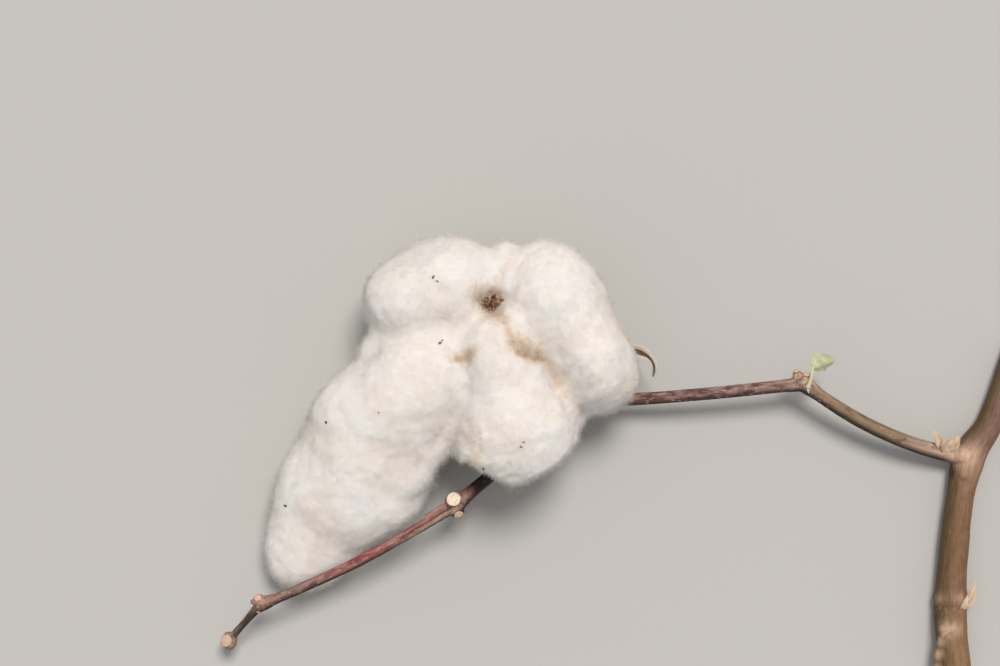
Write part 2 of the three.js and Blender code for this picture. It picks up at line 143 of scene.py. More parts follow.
def spline(points):
    """A smooth line through a few points, in steps of about half a millimetre."""
    knots = [Vector(p) for p in points]
    knots = [2 * knots[0] - knots[1], *knots, 2 * knots[-1] - knots[-2]]
    line = []
    for a, b, c, d in zip(knots, knots[1:], knots[2:], knots[3:]):
        t1 = math.sqrt((b - a).length)
        t2 = t1 + math.sqrt((c - b).length)
        t3 = t2 + math.sqrt((d - c).length)
        steps = round((c - b).length / ROUTE_STEP)
        for i in range(steps):
            t = t1 + (t2 - t1) * i / steps
            ab = a.lerp(b, t / t1)
            bc = b.lerp(c, (t - t1) / (t2 - t1))
            cd = c.lerp(d, (t - t2) / (t3 - t2))
            abc = ab.lerp(bc, t / t2)
            bcd = bc.lerp(cd, (t - t1) / (t3 - t1))
            line.append(abc.lerp(bcd, (t - t1) / (t2 - t1)))
    return [*line, knots[-2].copy()]


class Route:
    """A line through space with its length so far and the two directions across it at each point."""

    def __init__(self, line, start=0.0):
        self.points = line
        self.along = [start]
        for a, b in zip(line, line[1:]):
            self.along.append(self.along[-1] + (b - a).length)
        self.ahead = [(b - a).normalized() for a, b in zip(line, line[1:])]
        self.ahead.append(self.ahead[-1])
        self.aside = [t.cross(Vector((0, 0, 1))).normalized() for t in self.ahead]
        self.above = [s.cross(t) for s, t in zip(self.aside, self.ahead)]
        self.size = []
        self.length = self.along[-1] - start


def swell(distance, reach):
    """1 at a place, and softly down to nothing at about twice the reach."""
    return np.exp(-((distance / reach) ** 2))


def soft_step(value, low, high):
    share = np.clip((value - low) / (high - low), 0, 1)
    return share * share * (3 - 2 * share)


def mix(a, b, share):
    return a + (np.asarray(b) - a) * share


def add_limb(bm, route, radius, every=2):
    """Extrudes a ring along a route, as wide as radius says at each place, and closes both ends."""
    route.size = [float(radius(s)) for s in route.along]
    ring = bmesh.ops.create_circle(bm, cap_ends=False, segments=LIMB_SIDES, radius=1)["verts"]
    circle = [v.co.copy() for v in ring]
    stations = list(range(0, len(route.points) - 1, every)) + [len(route.points) - 1]
    edges = [e for e in bm.edges if e.verts[0] in ring and e.verts[1] in ring]
    first = list(edges)
    for i in stations:
        for v, c in zip(ring, circle):
            v.co = route.points[i] + route.size[i] * (c.x * route.aside[i] + c.y * route.above[i])
        if i == stations[-1]:
            break
        grown = bmesh.ops.extrude_edge_only(bm, edges=edges)["geom"]
        new_verts = {v for v in grown if isinstance(v, bmesh.types.BMVert)}
        edges = [e for e in grown if isinstance(e, bmesh.types.BMEdge)]
        edges = [e for e in edges if e.verts[0] in new_verts and e.verts[1] in new_verts]
        ring = [next(e.other_vert(v) for e in v.link_edges if e.other_vert(v) in new_verts) for v in ring]
    bmesh.ops.edgeloop_fill(bm, edges=first)
    bmesh.ops.edgeloop_fill(bm, edges=edges)


def piece_of(name, bm, scale=MM):
    """Turns a bmesh in millimetres into an object in metres, faces outwards."""
    bmesh.ops.recalc_face_normals(bm, faces=bm.faces)
    bmesh.ops.scale(bm, vec=(scale, scale, scale), verts=bm.verts)
    mesh = bpy.data.meshes.new(name)
    bm.to_mesh(mesh)
    bm.free()
    return new_object(name, mesh)


def grown_together(name, bm, voxel, smoothing, finer=0, scale=MM):
    """Joins the overlapping forms of a bmesh into one skin of even small faces."""
    thing = piece_of(name, bm, scale)
    rough = thing.data
    remesh = thing.modifiers.new("skin", "REMESH")
    remesh.mode = "VOXEL"
    remesh.voxel_size = voxel
    ease = thing.modifiers.new("ease", "SMOOTH")
    ease.factor = 0.5
    ease.iterations = smoothing
    if finer:
        split = thing.modifiers.new("split", "SUBSURF")
        split.levels = split.render_levels = finer
    seen = thing.evaluated_get(bpy.context.evaluated_depsgraph_get())
    skin = bpy.data.meshes.new_from_object(seen)
    thing.modifiers.clear()
    thing.data = skin
    bpy.data.meshes.remove(rough)
    skin.shade_smooth()
    return thing


def places_and_normals(mesh):
    places = np.empty(len(mesh.vertices) * 3)
    normals = np.empty(len(mesh.vertices) * 3)
    mesh.vertices.foreach_get("co", places)
    mesh.vertex_normals.foreach_get("vector", normals)
    return places.reshape(-1, 3), normals.reshape(-1, 3)


def keep(mesh, **attributes):
    """Stores one number, or three or four, for each point of a mesh under each name."""
    for name, values in attributes.items():
        values = np.asarray(values, np.float32).reshape(len(mesh.vertices), -1)
        kind, field = FIELD_KINDS[values.shape[1]]
        mesh.attributes.new(name, kind, "POINT").data.foreach_set(field, values.ravel())


def limb_coordinates(mesh, routes):
    """Each point's offset across the nearest route, its place along it, and its height off the limb."""
    stations = [(route, i) for route in routes for i in range(len(route.points))]
    tree = kdtree.KDTree(len(stations))
    for n, (route, i) in enumerate(stations):
        tree.insert(route.points[i], n)
    tree.balance()
    found = []
    gaps = []
    for vertex in mesh.vertices:
        place = vertex.co / MM
        _, n, _ = tree.find(place)
        route, i = stations[n]
        out = place - route.points[i]
        along = route.along[i] + out.dot(route.ahead[i])
        found.append((out.dot(route.aside[i]), out.dot(route.above[i]), along))
        gaps.append(out.length - route.size[i])
    return np.array(found), np.array(gaps)


def zone_colours(along, zones):
    """The colour at each place along a limb, run together from zone to zone."""
    at, *shades = zip(*zones)
    return np.stack([np.interp(along, at, shade) for shade in shades], axis=1)


def noise_at(points, scale, seed):
    """Smooth noise from -1 to 1 at each point, with one scale or one for each axis."""
    shift = Vector((seed * 17.3, seed * 5.1, seed * 9.7))
    return np.array([noise.noise(Vector(p) + shift) for p in points * np.asarray(scale)])


def put_points(mesh, places):
    mesh.vertices.foreach_set("co", places.ravel())
    mesh.update()


def push_out(mesh, distance):
    """Moves each point out along its normal, and keeps it off the floor."""
    places, normals = places_and_normals(mesh)
    places += normals * np.reshape(distance * MM, (-1, 1))
    places[:, 2] = np.maximum(places[:, 2], FLOOR_GAP)
    put_points(mesh, places)


class Flow:
    """A value that runs from one node of a material to the next, so that sums read as sums."""

    def __init__(self, finish, socket):
        self.finish = finish
        self.socket = socket

    def sum(self, operation, *values):
        return self.finish.node("ShaderNodeMath", {"operation": operation}, dict(enumerate(values)))

    def __add__(self, other):
        return self.sum("ADD", self, other)

    def __sub__(self, other):
        return self.sum("SUBTRACT", self, other)

    def __mul__(self, other):
        return self.sum("MULTIPLY", self, other)

    def __rsub__(self, other):
        return self.sum("SUBTRACT", other, self)

    def __abs__(self):
        return self.sum("ABSOLUTE", self)

    __radd__ = __add__
    __rmul__ = __mul__

    def between(self, low, high):
        """0 below low, 1 above high, and a soft run between them."""
        settings = {"interpolation_type": "SMOOTHSTEP"}
        return self.finish.node("ShaderNodeMapRange", settings, {0: self, 1: low, 2: high})


class Finish:
    """A material with one main shader. What is the same all over is set on the shader itself."""

    def __init__(self, name, **constants):
        self.material = bpy.data.materials.new(name)
        self.material.use_nodes = True
        self.tree = self.material.node_tree
        self.shader = self.tree.nodes["Principled BSDF"]
        for socket, value in constants.items():
            self.shader.inputs[socket.replace("_", " ")].default_value = value

    def node(self, kind, settings=None, sockets=None, out=0):
        made = self.tree.nodes.new(kind)
        for key, value in (settings or {}).items():
            setattr(made, key, value)
        for key, value in (sockets or {}).items():
            self.feed(made.inputs[key], value)
        return Flow(self, made.outputs[out])

    def feed(self, socket, value):
        if isinstance(value, Flow):
            self.tree.links.new(value.socket, socket)
        else:
            socket.default_value = value

    def attribute(self, name, out="Fac"):
        return self.node("ShaderNodeAttribute", {"attribute_name": name}, out=out)

    def part(self, vector, axis):
        return self.node("ShaderNodeSeparateXYZ", {}, {"Vector": vector}, out=axis)

    def noise(self, where, stretch, detail=3.0, roughness=0.6, scale=1.0):
        """Noise over an attribute, stretched along its axes."""
        place = self.node("ShaderNodeMapping", {}, {"Vector": where, "Scale": stretch})
        sockets = {"Vector": place, "Scale": scale, "Detail": detail, "Roughness": roughness}
        return self.node("ShaderNodeTexNoise", {}, sockets, out="Fac")

    def cloud(self, scale, detail=3.0, roughness=0.6):
        """Noise through the piece's own space, the same in all directions."""
        where = self.node("ShaderNodeTexCoord", out="Object")
        return self.noise(where, (1, 1, 1), detail, roughness, scale)

    def blend(self, a, b, share):
        """Runs from colour a to colour b."""
        return self.node("ShaderNodeMix", {"data_type": "RGBA"}, {0: share, 6: a, 7: b}, out=2)

    def shade(self, colour, amount):
        """Multiplies a colour by a grey amount."""
        grey = self.node("ShaderNodeCombineColor", {}, {0: amount, 1: amount, 2: amount})
        settings = {"data_type": "RGBA", "blend_type": "MULTIPLY"}
        return self.node("ShaderNodeMix", settings, {0: 1.0, 6: colour, 7: grey}, out=2)

    def surface(self, colour, roughness=None, relief=None, depth=0.2, strength=0.9):
        """Feeds what changes over the surface to the shader. Depth is in millimetres."""
        self.feed(self.shader.inputs["Base Color"], colour)
        if roughness:
            self.feed(self.shader.inputs["Roughness"], roughness)
        if relief:
            sockets = {"Height": relief, "Distance": depth * MM, "Strength": strength}
            self.feed(self.shader.inputs["Normal"], self.node("ShaderNodeBump", {}, sockets))
        return self.material


def bark_finish():
    """Dry bark in the piece's own colours, which carry painted light and shade: grain, painted shade in its
    cracks, wrinkles and crevices, pale bleaching, and pale corky breathing spots.
    """
    finish = Finish("bark", Specular_IOR_Level=0.4)
    limb = finish.attribute("limb", "Vector")
    grain = finish.noise(limb, (2.0, 2.0, 0.16), 4.0, 0.62)
    mottle = finish.noise(limb, (0.6, 0.6, 0.22), 4.0, 0.65)
    fine = finish.noise(limb, (4.5, 4.5, 1.3), 3.0, 0.65)
    zone = finish.attribute("zone", "Color")
    lit = finish.shade(zone, 0.22 + grain * 0.95 + fine * 0.6)
    # bleaching, laid heavier on the side toward the key light, so partly painted light
    weathered = mottle.between(0.44, 0.66) * finish.attribute("weathered")
    bleached = finish.blend(lit, BLEACHED_BARK, weathered * (0.35 + fine * 0.6))
    speckle = finish.attribute("speckle")
    blots = mottle.between(0.48, 0.36) * (speckle * 1.1 + 0.16)
    stained = finish.shade(bleached, 1 - blots * 0.58)
    # painted shade in the cracks, flutes, wrinkles, grooves and crevices
    hollow = finish.attribute("hollow").between(0.1, 0.95)
    deep = finish.shade(stained, 1 - hollow * 0.66)
    # each breathing spot is one cell of a stretched pattern, and the piece says how many are open
    stretched = finish.node("ShaderNodeMapping", {}, {"Vector": limb, "Scale": SPOT_STRETCH})
    cells = {"Vector": stretched, "Scale": 1.0, "Randomness": 0.9}
    to_middle = finish.node("ShaderNodeTexVoronoi", {}, cells, out="Distance")
    cell_colour = finish.node("ShaderNodeTexVoronoi", {}, cells, out="Color")
    lot = finish.node("ShaderNodeSeparateColor", {}, {"Color": cell_colour}, out="Red")
    is_open = (speckle - lot).between(0.0, 0.05)
    spot = to_middle.between(0.38, 0.16) * is_open * (0.4 + lot * 0.9)
    spot_colour = finish.blend(zone, BREATHING_SPOT, 0.62)
    spotted = finish.blend(deep, finish.shade(spot_colour, 0.45 + fine * 1.0), spot)
    rings = finish.noise(limb, (1.0, 1.0, 0.05), scale=2.2)
    face = finish.shade(CUT_WOOD, 0.6 + rings * 0.6)
    colour = finish.blend(spotted, face, finish.attribute("cut"))
    relief = grain * 0.8 + fine * 0.5 + spot * 0.7 - hollow * 0.3
    return finish.surface(colour, 0.42 + fine * 0.35, relief, 0.26)


def fit(piece, material, slot, *nodes):
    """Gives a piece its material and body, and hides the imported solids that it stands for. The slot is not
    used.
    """
    piece.data.materials.append(material)
    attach(piece, "root")
    if nodes:
        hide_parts(*nodes)


stem_route = Route(spline(STEM_POINTS))
low_joint_at = (Vector(STEM_POINTS[1]) - Vector(STEM_POINTS[0])).length
joint_at = low_joint_at + (Vector(STEM_POINTS[2]) - Vector(STEM_POINTS[1])).length


def stem_radius(along):
    below = mix(STEM_RADIUS["foot"], STEM_RADIUS["below"], along / joint_at)
    share = (along - joint_at) / (stem_route.length - joint_at)
    above = mix(STEM_RADIUS["above"], STEM_RADIUS["top"], share)
    reach = STEM_SWELLING["reach"]
    plain = mix(below, above, soft_step(along, joint_at, joint_at + 2 * reach))
    joint = STEM_SWELLING["joint"] * swell(along - joint_at, reach)
    return plain + joint + STEM_SWELLING["low_joint"] * swell(along - low_joint_at, reach)


# the form of all the wood, which the branch is added to before its skin is made
wood = bmesh.new()
add_limb(wood, stem_route, stem_radius)

# The fruiting branch: internodes of smooth young bark that zigzag from knuckle to knuckle. Each
# springs from the side of the last, and the first has grown out of the stem, so one skin covers all.
JOINTS = {
    "stem": Vector((121.8, -0.3, 5.6)),
    "first": Vector((61.7, 26.3, 15)),
    "boll": Vector((-18, 19.6, 9)),
    "scar": Vector((-61.1, -16.1, 20.5)),
    "last": Vector((-129.2, -51, 18)),
    "end": Vector((-141, -64.3, 10.5)),
}
INTERNODES = (
    # from, to, how far its middle is pushed aside, radius at each end, collar, knuckle
    ("stem", "first", (-0.6, -4.4, 1), (2.9, 2.2), 1.5, 0.9),
    ("first", "boll", (0, -0.8, 1.5), (2.2, 2.3), 0.5, 0.9),
    ("boll", "scar", (0, -0.4, -2), (2.4, 2.2), 0.5, 0.9),
    ("scar", "last", (0, -2.4, 1.2), (2, 1.7), 0.4, 0.9),
    ("last", "end", (-0.4, -0.4, 0), (1.4, 1.1), 0.4, 0.5),
)
KNUCKLE_REACH = 4.5
WRINKLED_REACH = 4
FLUTE_HEIGHT = 0.2
WRINKLE_HEIGHT = 0.04
KNOT_WRINKLE_HEIGHT = 0.22
# Posts that a fallen boll, leaf or twig has left: joint, offset from it, direction, radius, depth.
# Each is wider at its foot, by POST_FOOT.
POST_FOOT = 1.35
POSTS = (
    ("first", (-2.3, 2.8, 0.5), (-0.35, 1, 0.4), 1.5, 2.8),
    ("first", (0.5, 2, 1), (0.1, 1, 0.7), 1.6, 2.4),
    ("scar", (-0.2, 1.7, 1.6), (-0.15, 0.35, 1), 2.8, 2.4),
    ("scar", (0.9, -2.3, 0.8), (0.3, -0.65, 0.75), 2.1, 2),
    ("last", (-0.6, 1.7, 0.9), (-0.3, 0.6, 1), 1.7, 2),
    ("last", (-0.6, -1.7, 0.4), (-0.2, -0.9, 0.3), 1.2, 1.8),
    ("end", (-0.5, -0.5, 0.4), (-0.5, 0.1, 1), 2.5, 1.8),
)
# Swellings: the knob beside the branch's root and the dormant buds: place, radius, squash.
KNOBS = (
    ((119.4, 0.6, 6.4), 5.8, (0.85, 0.75, 1)),
    ((119, -6.4, 10.2), 1.7, (1, 1.1, 0.8)),
    ((95.6, 7, 12.6), 1.5, (1.7, 0.8, 0.8)),
    ((106, 4, 10.6), 1.6, (1.6, 0.9, 0.8)),
    ((-131.5, -50.2, 18.6), 1.2, (1.3, 1, 0.9)),
    ((114, -60.8, 9.2), 2.6, (1.6, 0.9, 0.9)),
)
# Ridges under the bark, line and radius: what an old leaf's base has left on the foot of the stem,
# and the long bud below the big scar.
RIDGES = (
    (((114, -60.8, 10.3), (111.6, -63.6, 9.5), (110.5, -67.6, 8.4), (110, -76.4, 7.6)), 1.25),
    (((-64.9, -16.5, 22), (-67.6, -18.5, 21.8), (-71.2, -20.6, 21)), 1.35),
)
BRANCH_ZONES = (
    # along the branch from the stem in millimetres, colour of the side toward the key light; painted shade
    # darkens the far side
    (0, 0.52, 0.34, 0.26), (7, 0.52, 0.345, 0.25), (20, 0.43, 0.29, 0.2),
    (32, 0.27, 0.175, 0.105), (50, 0.21, 0.138, 0.072), (62, 0.31, 0.19, 0.12),
    (67, 0.5, 0.33, 0.24), (72, 0.29, 0.165, 0.12), (90, 0.16, 0.072, 0.058),
    # from 138 to 198 mm the branch runs out from under the centre lock, and its colours fall to near black
    # there as painted shade
    (112, 0.15, 0.062, 0.054), (138, 0.15, 0.046, 0.04), (150, 0.075, 0.036, 0.026),
    (175, 0.06, 0.03, 0.021), (190, 0.024, 0.011, 0.007), (195.5, 0.032, 0.014, 0.009),
    (198.5, 0.34, 0.16, 0.14), (206, 0.42, 0.225, 0.185), (213, 0.33, 0.16, 0.125),
    (221, 0.31, 0.1, 0.095), (243, 0.31, 0.075, 0.085), (257, 0.24, 0.09, 0.08),
    (269, 0.18, 0.11, 0.082), (277, 0.25, 0.115, 0.085), (281, 0.28, 0.135, 0.098),
    (286, 0.075, 0.046, 0.032), (300, 0.105, 0.07, 0.05),
)
BRANCH_SPOTS = (
    # along the branch in millimetres, share of its breathing spots that are open
    (0, 0.2), (55, 0.22), (66, 0.35), (72, 0.6), (80, 0.75), (138, 0.75), (150, 0.3), (196, 0.3),
    (200, 0.9), (212, 0.3), (220, 0.5), (262, 0.6), (285, 0.35), (300, 0.15),
)
STEM_SPOTS = 0.04
BRANCH_BLEACHING = (
    # along the branch in millimetres, how far the weather has bleached it
    (0, 0.3), (60, 0.3), (75, 1), (130, 0.8), (145, 0.1), (196, 0.1), (200, 0.8), (216, 0.5),
    (225, 0.8), (300, 0.6),
)
STEM_BLEACHING = 0.18
END_FACE = 0.35
# A raised rib runs down the branch from each pair of scars, where the stalk's base ran on, with a
# groove on either side: where it fades in and out along the branch, and its place round the branch.
RIB_SPAN = (203, 206, 222, 232)
RIB_TURN = 2.05
RIB_WIDTH = 0.33
GROOVE_TURNS = (1.45, 2.7)
GROOVE_WIDTH = 0.2
RIB_HEIGHT = 0.45
GROOVE_DEPTH = 0.2
# across the limb and up, the side toward the key light; the far side of branch and stem is painted shade,
# run down to the two colours below
SUNNY_SIDE = (0.8, 0.6)
BRANCH_SHADED = (0.036, 0.018, 0.009)
STEM_SHADED = (0.105, 0.062, 0.022)
PALE_RIB = (0.4, 0.275, 0.165)
WORN_SPOTS = (
    # place in millimetres, reach, strength
    ((115.6, -60.6, 11.6), 2.6, 0.75),
    ((112.6, -61.2, 11.2), 3, 0.85),
    ((110.8, -65, 9.8), 2, 0.7),
    ((109.9, -70, 8.8), 2, 0.7),
    ((109.7, -75, 8.4), 2, 0.6),
    ((109.6, -50.4, 8.5), 2.6, 0.5),
    ((117.5, -50, 9.5), 2.4, 0.5),
    ((119.6, 0.4, 12.2), 5.2, 1),
    ((115.6, -0.6, 10.4), 3, 0.6),
    ((-141.8, -64.9, 12), 3.2, 0.9),
    ((-130, -48.6, 19.8), 2.2, 0.8),
    ((-54.9, -10.6, 22.4), 1.3, 0.75),
    ((-57.4, -13.6, 23.2), 1, 0.55),
    ((59.3, 29.8, 16.2), 2.4, 0.9),
    ((62.2, 29, 17.2), 2.4, 0.9),
)
WORN = (0.62, 0.415, 0.285)
# painted shade in the crevices under the fork and at the first joint: place, reach, strength
CREVICES = (
    ((115.6, -5.8, 7), 2.6, 1),
    ((114.8, -4.6, 5), 2.6, 0.8),
    ((60.6, 24.4, 15.5), 1.8, 0.9),
    ((60.2, 27.6, 17), 1.1, 0.9),
)


def bowed(start, end, bow):
    """The line from one joint to the next, pushed aside at its middle."""
    middle = start.lerp(end, 0.5) + 2 * Vector(bow)
    steps = round((end - start).length / ROUTE_STEP)
    shares = [i / steps for i in range(steps + 1)]
    return [start.lerp(middle, t).lerp(middle.lerp(end, t), t) for t in shares]


def add_ball(bm, centre, radius, squash=(1, 1, 1)):
    grown = bmesh.ops.create_icosphere(bm, subdivisions=3, radius=radius)["verts"]
    bmesh.ops.scale(bm, vec=squash, verts=grown)
    bmesh.ops.translate(bm, vec=centre, verts=grown)


def turned_to(direction, centre):
    turn = Vector((0, 0, 1)).rotation_difference(Vector(direction)).to_matrix().to_4x4()
    return Matrix.Translation(centre) @ turn


def add_post(bm, centre, direction, foot, top, depth):
    """A short round post with a flat face, standing in the given direction."""
    sizes = {"cap_ends": True, "segments": 24, "radius1": foot, "radius2": top, "depth": depth}
    grown = bmesh.ops.create_cone(bm, **sizes)["verts"]
    bmesh.ops.transform(bm, matrix=turned_to(direction, centre), verts=grown)


def closeness(points, spots):
    """How near each point lies to the spots of a list, by their strength."""
    total = np.zeros(len(points))
    for place, reach, strength in spots:
        gap = np.linalg.norm(points - np.array(place), axis=1)
        total = np.maximum(total, strength * swell(gap, reach))
    return total


def there_and_gone(values, start, full, fading, end):
    return soft_step(values, start, full) * (1 - soft_step(values, fading, end))


branch_routes = []
walked = 0.0
for start, end, bow, (thick, thin), collar_size, knuckle in INTERNODES:
    route = Route(bowed(JOINTS[start], JOINTS[end], bow), walked)

    def radius_at(s, first=walked, last=walked + route.length):
        plain = mix(thick, thin, (s - first) / (last - first))
        collar = collar_size * swell(s - first, KNUCKLE_REACH)
        return plain + collar + knuckle * swell(last - s, KNUCKLE_REACH)

    add_limb(wood, route, radius_at)
    add_ball(wood, JOINTS[end], thin + knuckle)
    branch_routes.append(route)
    walked += route.length
for joint, offset, facing, radius, depth in POSTS:
    add_post(wood, JOINTS[joint] + Vector(offset), facing, radius * POST_FOOT, radius, depth)
for place, radius, squash in KNOBS:
    add_ball(wood, place, radius, squash)
for line, radius in RIDGES:
    add_limb(wood, Route(spline(line)), lambda s: radius)

bark = grown_together("stem_and_branch", wood, WOOD_VOXEL, 3)
places, _ = places_and_normals(bark.data)
on_stem, stem_gap = limb_coordinates(bark.data, [stem_route])
on_branch, branch_gap = limb_coordinates(bark.data, branch_routes)
# Where the two meet, the relief of one runs out into the other.
branch_share = soft_step(stem_gap - branch_gap, -1.0, 1.0)
limb = np.where(branch_share[:, None] > 0.5, on_branch, on_stem)
along = limb[:, 2]

stem_along = on_stem[:, 2]
ridges = noise_at(on_stem, (0.5, 0.5, 0.045), 1)
cracks = np.abs(noise_at(on_stem, (0.95, 0.95, 0.07), 2))
grit = noise_at(on_stem, (1.6, 1.6, 0.6), 3)
ring = swell(stem_along - low_joint_at - 1.2 * ridges, RING_REACH)
collar = swell(stem_along - low_joint_at - COLLAR_UP, COLLAR_REACH)
stem_relief = RIDGE_HEIGHT * ridges + CRACK_HEIGHT * np.minimum(cracks, 0.35) + GRIT_HEIGHT * grit
stem_relief += COLLAR_HEIGHT * collar - RING_DEPTH * ring - 0.15
from_end = np.minimum(stem_along, stem_route.length - stem_along)
is_end = (branch_share < 0.5) & (from_end < END_FACE)

branch_along = on_branch[:, 2]
knots = [route.along[-1] for route in branch_routes]
near_knot = np.max([swell(branch_along - k, WRINKLED_REACH) for k in knots], axis=0)
fluting = noise_at(on_branch, (0.75, 0.75, 0.05), 4)
wrinkles = noise_at(on_branch, (0.9, 0.9, 1.3), 5)
way_round = np.arctan2(on_branch[:, 1], on_branch[:, 0])
rib_window = there_and_gone(branch_along, *RIB_SPAN)
rib = rib_window * swell(way_round - RIB_TURN, RIB_WIDTH)
off_groove = np.min([abs(way_round - turn) for turn in GROOVE_TURNS], axis=0)
groove = rib_window * swell(off_groove, GROOVE_WIDTH)
wrinkle_height = WRINKLE_HEIGHT + KNOT_WRINKLE_HEIGHT * near_knot
branch_relief = FLUTE_HEIGHT * fluting + wrinkle_height * wrinkles + RIB_HEIGHT * rib - GROOVE_DEPTH * groove
push_out(bark.data, np.where(is_end, 0.0, mix(stem_relief, branch_relief, branch_share)))

# painted light and shade: each limb keeps its zone colour on the side toward the key light and darkens to a
# painted shade on the far side
sunward = limb[:, :2] @ np.array(SUNNY_SIDE) / np.hypot(limb[:, 0], limb[:, 1])
sunny = np.clip(0.3 + 1.3 * sunward, 0, 1)[:, None]
stem_colour = mix(STEM_SHADED, zone_colours(stem_along, BARK_ZONES), sunny)
branch_colour = mix(BRANCH_SHADED, zone_colours(branch_along, BRANCH_ZONES), sunny)
branch_colour = mix(branch_colour, PALE_RIB, (rib * 0.9)[:, None])
zone = mix(stem_colour, branch_colour, branch_share[:, None])
zone = mix(zone, WORN, closeness(places / MM, WORN_SPOTS)[:, None])
# painted shade in the stem's cracks and its old leaf ring, and in the branch's flutes, the wrinkles by its
# knots and the grooves beside its rib
stem_hollow = np.clip(0.7 - 3.0 * cracks, 0, 1) * 0.24 + 0.35 * ring
wrinkled = np.clip(-2.2 * wrinkles, 0, 1) * near_knot * 0.8
branch_hollow = np.clip(-1.8 * fluting, 0, 1) * 0.55 + wrinkled + 0.9 * groove
hollow = mix(stem_hollow, branch_hollow, branch_share)
speckle = np.interp(along, *zip(*BRANCH_SPOTS))
bleaching = np.interp(along, *zip(*BRANCH_BLEACHING))
on_the_branch = branch_share > 0.5
keep(
    bark.data,
    limb=limb,
    zone=np.c_[zone, np.ones(len(along))],
    hollow=np.maximum(hollow, closeness(places / MM, CREVICES)),
    # bleaching along the branch, heavier on the side toward the key light, where it is painted light
    weathered=np.clip(0.2 + 1.3 * sunward, 0, 1) * np.where(on_the_branch, bleaching, STEM_BLEACHING),
    speckle=np.where(on_the_branch, speckle, STEM_SPOTS),
    cut=np.where(is_end, 1.0, 0.0),
)
bark_material = bark_finish()
internodes = [f"branch_internode_{n}" for n in (1, 2, 3, 4)]
fit(bark, bark_material, "bark", "main_stem", *internodes, "branch_tip")

# The scar faces: smooth corky discs with a raised rim and a small pip, left where a boll or a leaf
# has dropped off. The boll's is cream and the leaves' are tan, and each sits on a post of a knuckle.
SCAR_CREAM = (0.86, 0.72, 0.58, 1)
SCAR_CREAM_EDGE = (0.7, 0.53, 0.38, 1)
# painted shade for the groove ring in each scar's dish
SCAR_GROOVE = (0.34, 0.2, 0.115, 1)
SCAR_TAN = (0.66, 0.465, 0.335, 1)
SCAR_TAN_EDGE = (0.5, 0.34, 0.235, 1)
DISH = (
    # share of the radius that each ring is inset by, and how far it is lifted
    (0.1, 0.14),
    (0.12, 0.04),
    (0.1, -0.13),
    (0.22, 0.02),
    (0.2, 0.01),
    (0.1, 0.09),
)
# the rings of the dish that are marked for painted shade, as its groove
GROOVE_RINGS = (1, 2)
SCAR_THICKNESS = 0.5
SCAR_SUNK = 0.07
# The thickest post has carried a boll. A thin one keeps a rim of bark round its scar.
BOLL_POST = 2.6
THIN_POST = 2.2
THIN_SHARE = 0.86


def add_scar(bm, centre, direction, radius):
    """A disc with an inset dish, a raised rim and a pip, laid on a post's face."""
    mark = bm.verts.layers.float.get("groove") or bm.verts.layers.float.new("groove")
    bmesh.ops.create_circle(bm, cap_ends=True, segments=32, radius=radius)
    bm.faces.ensure_lookup_table()
    face = bm.faces[-1]
    verts = set(face.verts)
    for n, (share, lift) in enumerate(DISH):
        grown = bmesh.ops.inset_region(bm, faces=[face], thickness=radius * share, use_even_offset=True)
        verts.update(v for f in grown["faces"] for v in f.verts)
        verts.update(face.verts)
        for v in face.verts:
            v.co.z += lift * radius
            v[mark] = 1.0 if n in GROOVE_RINGS else 0.0
    for v in verts:
        sway = noise.noise(Vector((v.co.x, v.co.y, radius * 7)) * 0.9)
        v.co.xy *= 1 + 0.1 * sway
        v.co.z += 0.08 * radius * sway
    bmesh.ops.transform(bm, matrix=turned_to(direction, centre), verts=list(verts))


def scar_finish(name, base, edge):
    finish = Finish(name, Specular_IOR_Level=0.3)
    cork = finish.cloud(2600.0)
    blotch = finish.cloud(900.0)
    corky = finish.blend(base, edge, blotch.between(0.46, 0.66) * 0.8)
    # painted shade: the groove ring of the dish is darkened
    ringed = finish.blend(corky, SCAR_GROOVE, finish.attribute("groove") * 0.75)
    return finish.surface(finish.shade(ringed, 0.7 + cork * 0.6), 0.6 + cork * 0.3, cork, 0.15, 0.8)


def rounded(piece, thickness=0.0, offset=0.0):
    """Gives a piece its thickness in millimetres, where it has none yet, and soft edges."""
    if thickness:
        shell = piece.modifiers.new("body", "SOLIDIFY")
        shell.thickness = thickness * MM
        shell.offset = offset
    rounding = piece.modifiers.new("round", "SUBSURF")
    rounding.levels = rounding.render_levels = 1
    piece.data.shade_smooth()


big_scars = bmesh.new()
small_scars = bmesh.new()
for joint, offset, facing, radius, depth in POSTS:
    centre = JOINTS[joint] + Vector(offset) + Vector(facing).normalized() * (depth / 2 - SCAR_SUNK)
    form = big_scars if radius > BOLL_POST else small_scars
    add_scar(form, centre, facing, radius * (THIN_SHARE if radius < THIN_POST else 1.0))
for name, form, base, edge in (
    ("boll_scars", big_scars, SCAR_CREAM, SCAR_CREAM_EDGE),
    ("leaf_scars", small_scars, SCAR_TAN, SCAR_TAN_EDGE),
):
    scars = piece_of(name, form)
    rounded(scars, SCAR_THICKNESS, -1)
    fit(scars, scar_finish(name, base, edge), "pale_scale")

